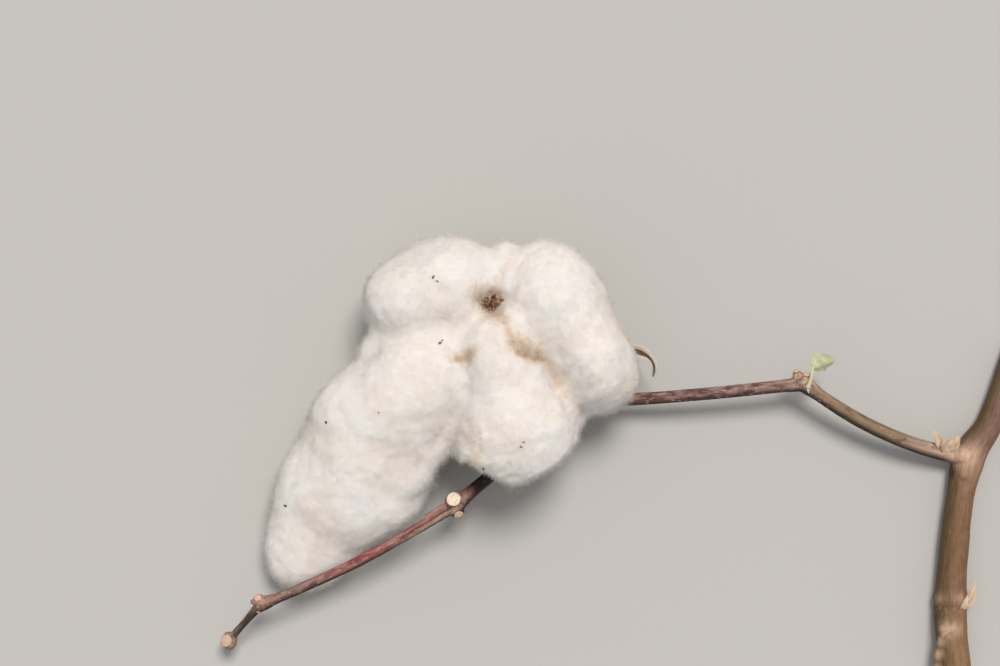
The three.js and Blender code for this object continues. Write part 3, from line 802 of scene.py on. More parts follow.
# The dried scales: thin curled bracts and a leaf's base that have withered to tan. One tuft of them
# sits in the fork of stem and branch, and a single sliver stands on the old joint of the stem.
SCALES = {
    "fork_scales": (
        # bent line from root to tip, width, how far it is cupped, the way its face looks
        (((112.4, 2.6, 8.6), (109.4, 6.2, 11.2), (107.7, 10, 11.8)), 3.6, 0.45, (0.3, -0.2, 1)),
        (((113.6, 2.2, 8.6), (112.6, 4.8, 11.6), (111.6, 6.6, 11.8)), 5.2, 0.4, (0.1, -0.3, 1)),
        (((114.4, 2.2, 8.8), (116.2, 5.2, 11.4), (116.7, 8, 11.4)), 3.8, 0.45, (-0.3, -0.2, 1)),
        (((113.2, 1.7, 9), (112.9, 4.6, 12.2), (114.4, 6.6, 12.3)), 4.4, 0.5, (0.1, -0.5, 1)),
    ),
    "stem_sliver": (
        (((119.2, -53.6, 7.4), (121, -50.6, 10.2), (123.2, -44, 8.8)), 4.6, 0.4, (0.5, -0.1, 1)),
        (((118.2, -54, 8.9), (119.2, -52, 10.9), (120.2, -48.6, 10.8)), 2.4, 0.4, (0.3, -0.2, 1)),
    ),
}
# the dead bud that the fork's scales stand round: place, radius, squash
BUD = ((113.4, 3.2, 9.0), 1.7, (1.2, 0.9, 0.8))
SCALE_THICKNESS = 0.22
SCALE_TAN = (0.74, 0.58, 0.42, 1)
SCALE_BROWN = (0.36, 0.225, 0.13, 1)
BLADE_ROWS = (10, 22)


def bent(line, t):
    """The point at share t along a line that three points bend."""
    a, b, c = (Vector(p) for p in line)
    return a.lerp(b, t).lerp(b.lerp(c, t), t)


def add_blade(bm, line, outline, cup, face, seed=0.0, folds=(0.0, 0.0), rows=BLADE_ROWS):
    """A thin blade along a bent line. The outline gives its half width, cup how far it is dished across."""
    across, lengthwise = rows
    mark = bm.verts.layers.float_vector.get("blade") or bm.verts.layers.float_vector.new("blade")
    for v in bmesh.ops.create_grid(bm, x_segments=across, y_segments=lengthwise, size=1)["verts"]:
        u, t = v.co.x, min(1.0, max(0.0, (v.co.y + 1) / 2))
        ahead = (bent(line, t + 0.01) - bent(line, t - 0.01)).normalized()
        aside = ahead.cross(Vector(face)).normalized()
        above = aside.cross(ahead)
        half = outline(t) * (1 + 0.22 * noise.noise(Vector((u * 0.8, t * 5, seed))))
        fold = folds[0] if u < 0 else folds[1]
        out, up = u * half * math.cos(fold), -abs(u) * half * math.sin(fold)
        curl = cup * half * u * u + 0.1 * half * noise.noise(Vector((u * 1.5, t * 4, seed + 9)))
        v.co = bent(line, t) + aside * out + above * (up + curl)
        v[mark] = Vector((u * half, u, t * (Vector(line[2]) - Vector(line[0])).length))


def scale_outline(width, t):
    return width / 2 * (0.35 + 0.65 * math.sin(math.pi * min(0.7, t * 1.1 + 0.1))) * (1 - t ** 4) + 0.08


def thin_piece(name, form, thickness, material, slot, *nodes):
    """Gives blades their thickness and soft edges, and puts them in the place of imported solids."""
    piece = piece_of(name, form)
    rounded(piece, thickness)
    fit(piece, material, slot, *nodes)


def scale_finish():
    """Withered leaf stuff: fine ribs along the blade and brown blotches."""
    finish = Finish("dried_scale", Specular_IOR_Level=0.25)
    blade = finish.attribute("blade", "Vector")
    ribs = finish.noise(blade, (2.4, 1, 0.12))
    blotch = finish.noise(blade, (0.6, 1, 0.35))
    tone = finish.blend(SCALE_TAN, SCALE_BROWN, (ribs * 0.7 + blotch * 0.5).between(0.5, 0.8) * 0.85)
    return finish.surface(finish.shade(tone, 0.7 + ribs * 0.55), 0.6 + blotch * 0.3, ribs)


scale_material = scale_finish()
for (name, scales), node in zip(SCALES.items(), ("fork_bud", "stem_scale")):
    form = bmesh.new()
    for n, (line, width, cup, face) in enumerate(scales):
        add_blade(form, line, lambda t, w=width: scale_outline(w, t), cup, face, n * 3.7)
    if name == "fork_scales":
        add_ball(form, *BUD)
    thin_piece(name, form, SCALE_THICKNESS, scale_material, "pale_scale", node)

# The young leaf at the first joint: a soft pale green blade on a short stalk, not yet spread. One
# half faces up, and the other is folded down along the midrib.
LEAF_STALK_RADIUS = 0.62
LEAF_STALK = ((62.7, 24.9, 17.2), (64.0, 28.4, 19.6), (64.3, 32.3, 19.3))
STIPULE = ((62.9, 25.4, 17.4), (62.4, 24.2, 18.2), (63.2, 23.0, 17.4))
LEAF_LINE = ((64.0, 31.6, 19.2), (67.6, 33.2, 21.8), (71.9, 34.3, 20.4))
LEAF_HALF_WIDTH = 5.0
LEAF_FOLDS = (0.1, 1.2)
LEAF_THICKNESS = 0.26
LEAF_PALE = (0.6, 0.61, 0.41, 1)
LEAF_GREEN = (0.36, 0.42, 0.185, 1)
LEAF_BROWN = (0.27, 0.2, 0.09, 1)
LEAF_VEIN = (0.66, 0.68, 0.42, 1)


def leaf_outline(t):
    """Widest near the stalk, with a small lobe on the way to the tip."""
    body = math.sin(math.pi * min(1.0, t ** 0.8 * 0.94 + 0.06)) ** 0.7
    lobe = 1 + 0.07 * math.cos(5 * math.pi * t)
    return LEAF_HALF_WIDTH * body * (1 - 0.25 * t) * lobe + 0.1


def leaf_finish():
    """A pale blade with darker green between its veins, and brown along the withering edge."""
    finish = Finish("young_leaf", Specular_IOR_Level=0.35, Subsurface_Weight=0.25, Subsurface_Scale=0.0006)
    blade = finish.attribute("blade", "Vector")
    off_midrib = abs(finish.part(blade, "X"))
    lengthwise = finish.part(blade, "Z")
    slant = lengthwise * 0.62 - off_midrib * 0.55
    fan = slant.sum("FRACT", slant)
    side_vein = abs(fan - 0.5).between(0.1, 0.0)
    midrib = off_midrib.between(0.3, 0.08)
    vein = midrib.sum("MAXIMUM", midrib, side_vein * 0.7)
    blotch = finish.noise(blade, (0.5, 1, 0.5), 4.0, 0.65)
    fine = finish.noise(blade, (3, 1, 3))
    greening = (lengthwise * 0.055 + blotch * 0.9).between(0.5, 0.95) * 0.8
    green = finish.blend(LEAF_PALE, LEAF_GREEN, greening)
    edge = (abs(finish.part(blade, "Y")) + lengthwise * 0.05 + blotch * 0.5).between(1.45, 1.7)
    withered = finish.blend(green, LEAF_BROWN, edge * 0.85)
    veined = finish.blend(withered, LEAF_VEIN, vein * 0.55)
    relief = fine * 0.4 - vein * 0.8
    return finish.surface(finish.shade(veined, 0.75 + fine * 0.5), 0.45 + fine * 0.3, relief, 0.22, 0.8)


def leaf_stalk_radius(s):
    return LEAF_STALK_RADIUS - 0.02 * s + 0.35 * swell(s, 1.2)


leaf_form = bmesh.new()
add_blade(leaf_form, LEAF_LINE, leaf_outline, 0.22, (-0.25, 0.15, 1), 2.0, LEAF_FOLDS)
leaf_material = leaf_finish()
thin_piece("young_leaf_blade", leaf_form, LEAF_THICKNESS, leaf_material, "green_leaf", "young_leaf")
stalk_form = bmesh.new()
leaf_stalk_route = Route([bent(LEAF_STALK, n / 16) for n in range(17)])
add_limb(stalk_form, leaf_stalk_route, leaf_stalk_radius, 1)
add_blade(stalk_form, STIPULE, lambda t: 0.9 * (1 - t) + 0.1, 0.3, (0.6, -0.5, 1))
leaf_stalk = piece_of("young_leaf_stalk", stalk_form)
rounded(leaf_stalk)
fit(leaf_stalk, leaf_material, "green_leaf")

# The dry boll under the cotton: its stalk, the cup, four woody walls that have opened flat, and
# three papery bracts with long teeth, all grown together at the cup.
BOLL_BASE = Vector((-37.3, 37.4, 19))
STALK_TOP = Vector((-37.3, 37.4, 16))
STALK_BOW = (1.5, 3.0, -3.5)
STALK_RADIUS = (2.2, 1.7)
STALK_RIDGE_HEIGHT = 0.15
STALK_BROWN = (0.15, 0.085, 0.062, 1.0)
HUSK_DARK = (0.075, 0.042, 0.026, 1)
HUSK_PALE = (0.3, 0.185, 0.115, 1)
BRACT_DARK = (0.16, 0.105, 0.065, 1)
BRACT_PALE = (0.58, 0.46, 0.33, 1)
HUSK_VOXEL = 0.32 * MM
BRACT_VOXEL = 0.24 * MM
VEIN_HEIGHT = 0.1
# The thin walls and bracts are a little wavy, fully so from this far out. Further on their tips darken.
WAVE = 0.6
WAVY_FROM = 30
TIPS_FROM = 43.5
TIPS_OVER = 3
# The long tooth that curls out past the cotton is a trough: pale rims, partly painted highlight, with
# painted shade down its middle and toward its tip.
TOOTH_FROM = -9.0
TOOTH_LINE = ((-13.0, 38.4, 18.4), (11.8, 39.8, 20.5), (8.2, 28.8, 19.0))
TOOTH_HALF_WIDTH = (2.0, 0.5)
TOOTH_THICKNESS = 0.28
TOOTH_PALE = (0.7, 0.61, 0.5, 1)
TOOTH_DARK = (0.085, 0.05, 0.03, 1)


def copy_of_nodes(names, cut_at=None):
    """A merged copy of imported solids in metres, to grow a finer skin on. It may be cut off at some x."""
    form = bmesh.new()
    for node in names:
        form.from_mesh(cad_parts[node].data)
    bmesh.ops.remove_doubles(form, verts=form.verts, dist=0.01 * MM)
    if cut_at is not None:
        everything = [*form.verts, *form.edges, *form.faces]
        plane = {"plane_co": (cut_at * MM, 0, 0), "plane_no": (1, 0, 0), "clear_outer": True}
        bmesh.ops.bisect_plane(form, geom=everything, **plane)
        bmesh.ops.holes_fill(form, edges=[e for e in form.edges if e.is_boundary])
    return form


def dry_finish(name, dark, pale, vein_stretch):
    """Dry brown plant skin: streaks that run out from the cup, blotches, and darker tips."""
    finish = Finish(name, Specular_IOR_Level=0.3)
    spread = finish.attribute("spread", "Vector")
    veins = finish.noise(spread, vein_stretch, 4.0)
    blotch = finish.noise(spread, (0.35, 0.35, 0.35))
    tone = finish.blend(dark, pale, (veins * 0.6 + blotch * 0.6).between(0.35, 0.85))
    colour = finish.shade(tone, 1 - finish.attribute("tip") * 0.75)
    return finish.surface(colour, 0.55 + blotch * 0.35, veins, 0.3, 0.8)


stalk_form = bmesh.new()
stalk_route = Route(bowed(JOINTS["boll"], STALK_TOP, STALK_BOW))


def stalk_radius(s):
    return mix(*STALK_RADIUS, s / stalk_route.length) + 0.5 * swell(s, 3)


add_limb(stalk_form, stalk_route, stalk_radius)
stalk = grown_together("boll_stalk_bark", stalk_form, WOOD_VOXEL, 2)
limb, _ = limb_coordinates(stalk.data, [stalk_route])
ridges = noise_at(limb, (0.8, 0.8, 0.1), 6)
push_out(stalk.data, STALK_RIDGE_HEIGHT * ridges)
stalk_zone = np.tile(STALK_BROWN, (len(limb), 1))
# painted shade in the furrows of the stalk
furrows = np.clip(-1.6 * ridges, 0, 1) * 0.5
keep(stalk.data, limb=limb, zone=stalk_zone, hollow=furrows, speckle=np.full(len(limb), 0.3))
fit(stalk, bark_material, "bark", "boll_stalk")

CARPELS = [f"boll_carpel_{n}" for n in (1, 2, 3, 4)]
BRACTS = [f"boll_bract_{n}" for n in (1, 2, 3)]
husk_material = dry_finish("husk", HUSK_DARK, HUSK_PALE, (0.12, 0.9, 0.4))
bract_material = dry_finish("bract", BRACT_DARK, BRACT_PALE, (0.1, 1.1, 0.5))
for name, nodes, cut_at, voxel, smoothing, slot, material in (
    ("boll_walls", ["boll_cup", *CARPELS], None, HUSK_VOXEL, 3, "husk", husk_material),
    ("boll_bracts", BRACTS, TOOTH_FROM, BRACT_VOXEL, 1, "dry_bract", bract_material),
):
    piece = grown_together(name, copy_of_nodes(nodes, cut_at), voxel, smoothing, scale=1)
    places, _ = places_and_normals(piece.data)
    out = places / MM - np.array(BOLL_BASE)
    # distance out from the boll's axis, the way round it and the height, in millimetres
    spread = np.c_[np.hypot(out[:, 0], out[:, 1]), np.arctan2(out[:, 1], out[:, 0]) * 12.0, out[:, 2]]
    push_out(piece.data, VEIN_HEIGHT * noise_at(spread, (0.12, 0.8, 0.3), 8))
    places, _ = places_and_normals(piece.data)
    warp = noise_at(spread, (0.16, 0.12, 0.1), 9)
    places[:, 2] += warp * np.clip(spread[:, 0] / WAVY_FROM, 0, 1) * WAVE * MM
    put_points(piece.data, places)
    keep(piece.data, spread=spread, tip=np.clip((spread[:, 0] - TIPS_FROM) / TIPS_OVER, 0, 1))
    fit(piece, material, slot, *nodes)


def tooth_outline(t):
    return mix(*TOOTH_HALF_WIDTH, soft_step(t, 0.35, 1.0)) + 0.25 * math.sin(t * 17)


tooth_form = bmesh.new()
add_blade(tooth_form, TOOTH_LINE, tooth_outline, 0.95, (0.15, 0.25, 1), 4.0)
finish = Finish("bract_tooth", Specular_IOR_Level=0.3)
blade = finish.attribute("blade", "Vector")
fibre = finish.noise(blade, (2.2, 0.3, 0.2))
# painted shade down the middle of the trough and toward its tip; the pale rims are partly painted highlight
rim = (abs(finish.part(blade, "Y")) + fibre * 0.4).between(0.52, 0.88)
worn_tip = (finish.part(blade, "Z") * 0.06 + fibre * 0.3).between(1.25, 1.6)
tone = finish.blend(TOOTH_DARK, TOOTH_PALE, rim * (1 - worn_tip * 0.8))
tooth_material = finish.surface(finish.shade(tone, 0.6 + fibre * 0.8), 0.5 + fibre * 0.4, fibre, 0.2, 0.8)
thin_piece("bract_tooth", tooth_form, TOOTH_THICKNESS, tooth_material, "dry_bract")

# The cotton: four locks of loose fibre that have swollen out of the open walls and felted into each
# other. One soft skin carries their lumps and creases, tan stains, and painted shade where the locks meet.
BRIDGES = {
    # how far the loose fibre bridges each lock's own hollows, in millimetres, and how much it evens out
    "cotton_upper_left": (4, 8),
    "cotton_right": (8, 16),
    "cotton_centre": (5, 24),
    "cotton_hanging": (10, 60),
}
COTTON_SWELL = 0.5
EVENING_SINKS = 0.02
COTTON_VOXEL = 1.5 * MM
COTTON_EASE = 10
FILLS = (
    # loose fibre between the locks: place in millimetres, radius, squash
    ((-57, 42.5, 33.5), 10.5, (1.2, 1.1, 1)),
    ((-61, 29, 33), 11, (1.1, 1.3, 1)),
    ((-61, 14, 27), 10, (0.9, 1.3, 1)),
    ((-29, 37, 35.5), 10, (0.8, 1.4, 1)),
    ((-22, 26, 33), 9.5, (0.8, 1.3, 1)),
    ((-19.5, 20, 27.5), 7.5, (0.8, 1.2, 1)),
    ((-43.5, 62, 34), 10, (0.8, 1.4, 1)),
    ((-77, 42, 27), 12, (1.2, 1, 1)),
    ((-69, 42.5, 32), 11, (1.2, 1, 1)),
    ((-79, 23.5, 29.5), 16, (1.1, 1, 1)),
    ((-92, 4, 22), 19, (1.1, 0.9, 1)),
    ((-105, -19, 13.5), 15, (1.1, 1, 1)),
    ((-83, 36, 24), 12, (1, 1, 1)),
    ((-79, -3, 25), 11, (1, 1, 1)),
    ((-86, -15, 21.5), 10, (1, 1, 1)),
    ((-71.5, 5, 28), 8.5, (1, 1, 1)),
)
EVENED = (
    # where the pulled lock has drawn smooth, seen from above: place, reach, strength
    ((-74, 24, 46), 13, 1),
    ((-84, 10, 42), 17, 1),
    ((-91, -4, 37), 17, 1),
    ((-99, -18, 31), 16, 1),
    ((-108, -32, 22), 13, 1),
    ((-69, 48.5, 45), 8, 0.6),
    ((-34, 5, 50), 9, 0.5),
)
EVENING_ROUNDS = 300
COTTON_RELIEF = (
    # the lumps, puffs, tufts and flecks of the lint: how fine, seed, height
    (0.07, 11, 0.75),
    (0.15, 12, 0.5),
    (0.36, 13, 0.32),
    (0.85, 14, 0.15),
)
CREASE_DEPTH = 1.5
PRESSED_IN = (
    # where the skin is drawn in: place, reach, depth
    ((-48.3, 54, 44), 4.2, 3.4),
    ((-94, 56, 24), 11, 3),
    ((-63.5, 66, 46), 3, 0.8),
    ((-64, 57, 48), 3.5, 0.8),
    ((-64.5, 48, 44), 3.5, 0.8),
)
# The lower edge of the centre lock, where the branch comes out from under it, and its softness.
LOWER_EDGE = (
    (-62.7, 8.6), (-58.2, 4.8), (-54, 0.5), (-48.1, -2.6), (-45.4, -4.3), (-41.2, -6),
    (-36, -4.6), (-33.5, -3.2), (-24.8, 2.2), (-18.9, 10.4), (-14.4, 16.3),
)
EDGE_SOFTNESS = 1.6
EDGE_SPAN = (-60, -55, -22, -16)
NUBBLY = (
    # where the fibre has matted into small tufts: place, reach, strength
    ((-42, -1, 32), 15, 1.5),
    ((-28, 4, 34), 12, 1.2),
    ((-60, 6, 30), 9, 0.8),
    ((-116, -32, 16), 15, 0.15),
)
# the creases are pressed in, and given painted shade in the skin's colour and in its fibres
CREASES = (
    # line along which two locks meet, on the picture's own plane, reach, strength
    (((-46, 52), (-43.7, 48.5), (-41.1, 41.7), (-39.2, 37.6)), 2.2, 0.85),
    (((-39.2, 37.6), (-35.2, 36), (-30.1, 34.7), (-27.7, 30.9), (-25, 26.5)), 2.4, 0.9),
    (((-25, 26.5), (-20.9, 21.4), (-16.5, 16.3)), 2.4, 0.6),
    (((-46, 49), (-50, 42), (-55, 36.5), (-60, 35), (-64, 38)), 2.4, 0.45),
    (((-62.5, 30), (-62, 20), (-63, 5)), 2.4, 0.36),
    (((-46.5, 57.5), (-44.7, 63.8), (-41.3, 73.3)), 2.4, 0.45),
)
STAINS = (
    # where tan has spread from the creases and the tuft, in the same form
    (((-43.7, 48.5), (-41.1, 41.7)), 1.8, 0.55),
    (((-40.5, 41), (-36, 39), (-32, 36.8)), 3.3, 0.74),
    (((-38.5, 37.4), (-34.5, 36), (-30.2, 34.9)), 1.8, 1),
    (((-54.8, 37.6), (-56.6, 34.4), (-60, 35.4)), 2.1, 0.8),
    (((-48.3, 56.5), (-48.6, 52)), 4.2, 0.8),
    (((-53.5, 58), (-50, 55)), 3.6, 0.6),
    (((-46, 50), (-42.5, 45)), 2.4, 0.6),
    (((-55, 12), (-53, 2)), 5, 0.26),
)
COTTON_WHITE = (0.93, 0.895, 0.855, 1)
COTTON_WARM = (0.905, 0.83, 0.77, 1)
COTTON_COOL = (0.89, 0.875, 0.86, 1)
# tan of the stains, and of the painted shade along the creases
COTTON_TAN = (0.54, 0.395, 0.27, 1)


def cotton_finish():
    """Matte fibre that light soaks into. Painted shade in the creases and dips, and the tan of stains and
    creases, come from the piece's own attributes.
    """
    finish = Finish(
        "cotton_lint",
        Roughness=0.95,
        Specular_IOR_Level=0.08,
        Sheen_Weight=0.12,
        Sheen_Roughness=0.6,
        Subsurface_Weight=0.8,
        Subsurface_Radius=(1.0, 0.85, 0.7),
        Subsurface_Scale=0.005,
    )
    drift = finish.cloud(70.0, 3.0, 0.55)
    tufts = finish.cloud(420.0, 4.0, 0.65)
    wisps = finish.cloud(1500.0, 3.0, 0.7)
    white = finish.blend(COTTON_COOL, COTTON_WHITE, drift.between(0.32, 0.48))
    white = finish.blend(white, COTTON_WARM, drift.between(0.46, 0.64) * 0.85)
    crease = finish.blend(white, COTTON_WARM, finish.attribute("crease").between(0.1, 0.9) * 0.9)
    stain = (finish.attribute("stain") * (0.45 + tufts)).between(0.22, 1.05)
    colour = finish.blend(crease, COTTON_TAN, stain)
    return finish.surface(colour, relief=tufts + wisps * 0.5, depth=0.6, strength=0.3)


def line_closeness(points, lines):
    """How near each point lies, seen from above, to the lines of a list, by their strength."""
    total = np.zeros(len(points))
    for line, reach, strength in lines:
        for a, b in zip(np.array(line), np.array(line)[1:]):
            share = np.clip((points[:, :2] - a) @ (b - a) / ((b - a) @ (b - a)), 0, 1)
            gap = np.linalg.norm(points[:, :2] - a - share[:, None] * (b - a), axis=1)
            total = np.maximum(total, strength * swell(gap, reach))
    return total * soft_step(points[:, 2], 8, 18)


def staining(points):
    """Tan at the named stains, and tan laid along the creases where the locks meet as painted shade, broken
    up as fibres are.
    """
    drift = np.clip(0.65 + 0.7 * noise_at(points, 0.16, 15), 0.15, 1)
    streaks = np.clip(0.9 + 0.5 * noise_at(points, 0.33, 18), 0.5, 1.1)
    creased = line_closeness(points, CREASES) * drift * 0.55
    return np.maximum(line_closeness(points, STAINS) * streaks, creased)


def even_heights(mesh, shares, rounds):
    """Runs each point's height into its neighbours', by its own share, round after round."""
    ends = np.empty(len(mesh.edges) * 2, int)
    mesh.edges.foreach_get("vertices", ends)
    a, b = ends.reshape(-1, 2).T
    neighbours = np.bincount(ends, minlength=len(mesh.vertices))
    places, _ = places_and_normals(mesh)
    for _ in range(rounds):
        height = places[:, 2]
        total = np.bincount(a, height[b], len(height)) + np.bincount(b, height[a], len(height))
        places[:, 2] = height + 0.5 * shares * (total / neighbours - height)
    put_points(mesh, places)


swollen = bmesh.new()
for lock, (bridge, evening) in BRIDGES.items():
    one_lock = copy_of_nodes([lock])
    one_lock.normal_update()
    for v in one_lock.verts:
        v.co += v.normal * bridge * MM
    # puffed up until its hollows close, grown into one skin, and drawn back in again
    puffed = grown_together(f"{lock}_puffed", one_lock, COTTON_VOXEL, evening, scale=1)
    push_out(puffed.data, COTTON_SWELL + evening * EVENING_SINKS - bridge)
    puffed.data.transform(Matrix.Scale(1 / MM, 4))
    swollen.from_mesh(puffed.data)
    bpy.data.objects.remove(puffed)
for place, radius, squash in FILLS:
    add_ball(swollen, place, radius, squash)
cotton = grown_together("cotton_lint", swollen, COTTON_VOXEL, COTTON_EASE, 1)
places, outward = places_and_normals(cotton.data)
facing_up = soft_step(outward[:, 2], 0.25, 0.65)
even_heights(cotton.data, closeness(places / MM, EVENED) * facing_up, EVENING_ROUNDS)
points = places_and_normals(cotton.data)[0] / MM
layers = [noise_at(points, scale, seed) for scale, seed, _ in COTTON_RELIEF]
relief = sum(height * layer for (_, _, height), layer in zip(COTTON_RELIEF, layers))
_, puffs, tufts, flecks = layers
relief += (0.45 * tufts + 0.35 * flecks) * closeness(points, NUBBLY)
on_crease = line_closeness(points, CREASES)
relief -= CREASE_DEPTH * on_crease
for place, reach, depth in PRESSED_IN:
    relief -= depth * closeness(points, [(place, reach, 1.0)])
push_out(cotton.data, relief)
# the lower edge is drawn up to its line
places, _ = places_and_normals(cotton.data)
x, y = places[:, 0] / MM, places[:, 1] / MM
edge = np.array(spline([(*point, 0) for point in LOWER_EDGE]))
beyond = np.maximum(np.interp(x, edge[:, 0], edge[:, 1]) - y, 0)
drawn_up = beyond - EDGE_SOFTNESS * (1 - np.exp(-beyond / EDGE_SOFTNESS))
places[:, 1] += drawn_up * there_and_gone(x, *EDGE_SPAN) * MM
put_points(cotton.data, places)
# painted shade: a warmer, darker colour along the creases between the locks and in the dips between the
# puffs
creased = np.clip(on_crease * 1.2 + np.clip(-0.9 * puffs - 0.2, 0, 0.4), 0, 1)
keep(cotton.data, stain=staining(points), crease=creased)
fit(cotton, cotton_finish(), "cotton", *BRIDGES)

# The loose fibres that stand off the cotton: fine flat hairs that lie along the skin, curl a little
# and lift at their middle or at one end. Those over stains and over the painted shade of creases are cream
# to tan, and wisps of long ones trail free.
FIBRES = 150000
FIBRES_A_PIECE = 32000
FIBRE_POINTS = 4
FIBRE_WIDTH = 0.068
FIBRE_LENGTH = (1.8, 4.6)
FIBRE_CURL = 0.2
FIBRE_SWAY = 0.08
FIBRE_LIFT = 0.3
FIBRE_TAIL = 0.75
LONGEST_TAIL = 2.0
# the part of a hair that lies behind its root, and how deep the root sits in the skin
BEHIND_ROOT = 0.3
ROOT_DEPTH = 0.12
HAIR_OFF_FLOOR = 0.08
CREAM_FROM = 0.17
TAN_FROM = 0.58
WISPS = (
    # where they leave the cotton, reach, the way they trail, how many, longest
    ((-36, -4.5, 22), 7, (0.1, -1, 0.1), 1300, 5.5),
    ((-43, -5, 20), 4, (0.3, -1, 0.1), 600, 4.5),
    ((-27, 1, 24), 7, (0.5, -1, 0.1), 900, 4.5),
    ((-67, -9, 18), 6, (0.9, -0.5, 0.1), 400, 3.5),
    ((-66, 8, 28), 6, (0.9, -0.6, 0.1), 300, 3),
    ((-90, 60, 26), 12, (-1, 0.4, 0.1), 450, 2.6),
    ((-104, 14, 20), 12, (-1, 0.4, 0.1), 450, 2.8),
    ((-118, -14, 14), 12, (-1, 0.2, 0.1), 450, 2.8),
    ((-8, 22, 26), 10, (0.8, -0.8, 0.1), 450, 3),
    ((0, 38, 28), 12, (1, 0.1, 0.1), 400, 2.6),
    ((-12, 66, 28), 12, (0.7, 0.8, 0.1), 400, 2.6),
    ((-58, 57, 46), 6, (-0.8, 0.5, 0.5), 240, 4),
)
WISP_TWIST = 1.6
WISP_SPREAD = 0.55
WISP_LOOSENESS = 0.45
WISP_SLACK = 1.35
WISP_LIFT = 0.25
WHITE_FIBRE = (0.93, 0.9, 0.865, 1)
WARM_FIBRE = (0.92, 0.862, 0.808, 1)
CREAM_FIBRE = (0.78, 0.645, 0.505, 1)
TAN_FIBRE = (0.6, 0.445, 0.31, 1)


def skin_samples(mesh, count, draw):
    """Points spread evenly over a mesh's faces, with the normal at each."""
    mesh.calc_loop_triangles()
    corners = np.empty(len(mesh.loop_triangles) * 3, int)
    mesh.loop_triangles.foreach_get("vertices", corners)
    corners = corners.reshape(-1, 3)
    places, normals = places_and_normals(mesh)
    a, b, c = (places[corners[:, n]] for n in range(3))
    areas = np.linalg.norm(np.cross(b - a, c - a), axis=1)
    faces = draw.choice(len(corners), count, p=areas / areas.sum())
    u, v = draw.random((2, count, 1))
    folded = u + v > 1
    u, v = np.where(folded, 1 - u, u), np.where(folded, 1 - v, v)
    at = a[faces] * (1 - u - v) + b[faces] * u + c[faces] * v
    normal = sum(normals[corners[faces, n]] * w for n, w in enumerate((1 - u - v, u, v)))
    return at / MM, normal / np.linalg.norm(normal, axis=1, keepdims=True)


def unit(vectors):
    return vectors / np.maximum(np.linalg.norm(vectors, axis=-1, keepdims=True), 1e-9)


def fibre_mesh(name, at, normal, towards, length, lift, tail, draw):
    """One joined mesh of flat tapering hairs, each a strip of a few faces, lit as the skin is."""
    count = len(at)
    ahead = unit(towards)
    aside = np.cross(normal, ahead)
    share = np.linspace(0, 1, FIBRE_POINTS)[None, :, None]
    length, lift, tail = (np.asarray(value)[:, None, None] for value in (length, lift, tail))
    curl = draw.normal(scale=FIBRE_CURL, size=(count, 1, 1)) * length
    sway = draw.normal(scale=FIBRE_SWAY, size=(count, 1, 1)) * length
    line = at[:, None] + ahead[:, None] * length * (share - BEHIND_ROOT)
    line = line + aside[:, None] * (curl * (share - 0.5) ** 2 * 4 + sway * np.sin(share * 2 * np.pi))
    line = line + normal[:, None] * (lift * np.sin(share * np.pi) + tail * share ** 2 - ROOT_DEPTH)
    line[..., 2] = np.maximum(line[..., 2], HAIR_OFF_FLOOR)
    run = unit(np.gradient(line, axis=1))
    across = unit(np.cross(normal[:, None] + 0.3 * draw.normal(size=(count, 1, 3)), run))
    half = FIBRE_WIDTH / 2 * (1 - 0.75 * np.abs(2 * share - 1) ** 2)
    strip = np.stack([line - across * half, line + across * half], axis=2) * MM
    step = np.arange(FIBRE_POINTS - 1) * 2
    quads = np.stack([step, step + 2, step + 3, step + 1], axis=1)
    faces = (np.arange(count)[:, None, None] * FIBRE_POINTS * 2 + quads[None]).reshape(-1, 4)
    mesh = bpy.data.meshes.new(name)
    mesh.vertices.add(count * FIBRE_POINTS * 2)
    mesh.vertices.foreach_set("co", strip.astype(np.float32).ravel())
    mesh.loops.add(faces.size)
    mesh.loops.foreach_set("vertex_index", faces.astype(np.int32).ravel())
    mesh.polygons.add(len(faces))
    mesh.polygons.foreach_set("loop_start", np.arange(0, faces.size, 4, dtype=np.int32))
    mesh.update(calc_edges=True)
    mesh.shade_smooth()
    facing = np.repeat(normal[:, None], FIBRE_POINTS * 2, axis=1).reshape(-1, 3)
    mesh.normals_split_custom_set_from_vertices(facing.astype(np.float32))
    return mesh


def fibre_finish(name, colour):
    gloss = {"Roughness": 0.9, "Specular_IOR_Level": 0.1, "Sheen_Weight": 0.15}
    return Finish(name, Base_Color=colour, **gloss).material


draw = np.random.default_rng(21)
at, normal = skin_samples(cotton.data, FIBRES, draw)
# the fibres take the tan of stains, and the painted shade along the creases, from the skin under them
level = staining(at) * draw.uniform(0.4, 1.4, len(at))
white_fibre = fibre_finish("white_fibre", WHITE_FIBRE)
warm_fibre = fibre_finish("warm_fibre", WARM_FIBRE)
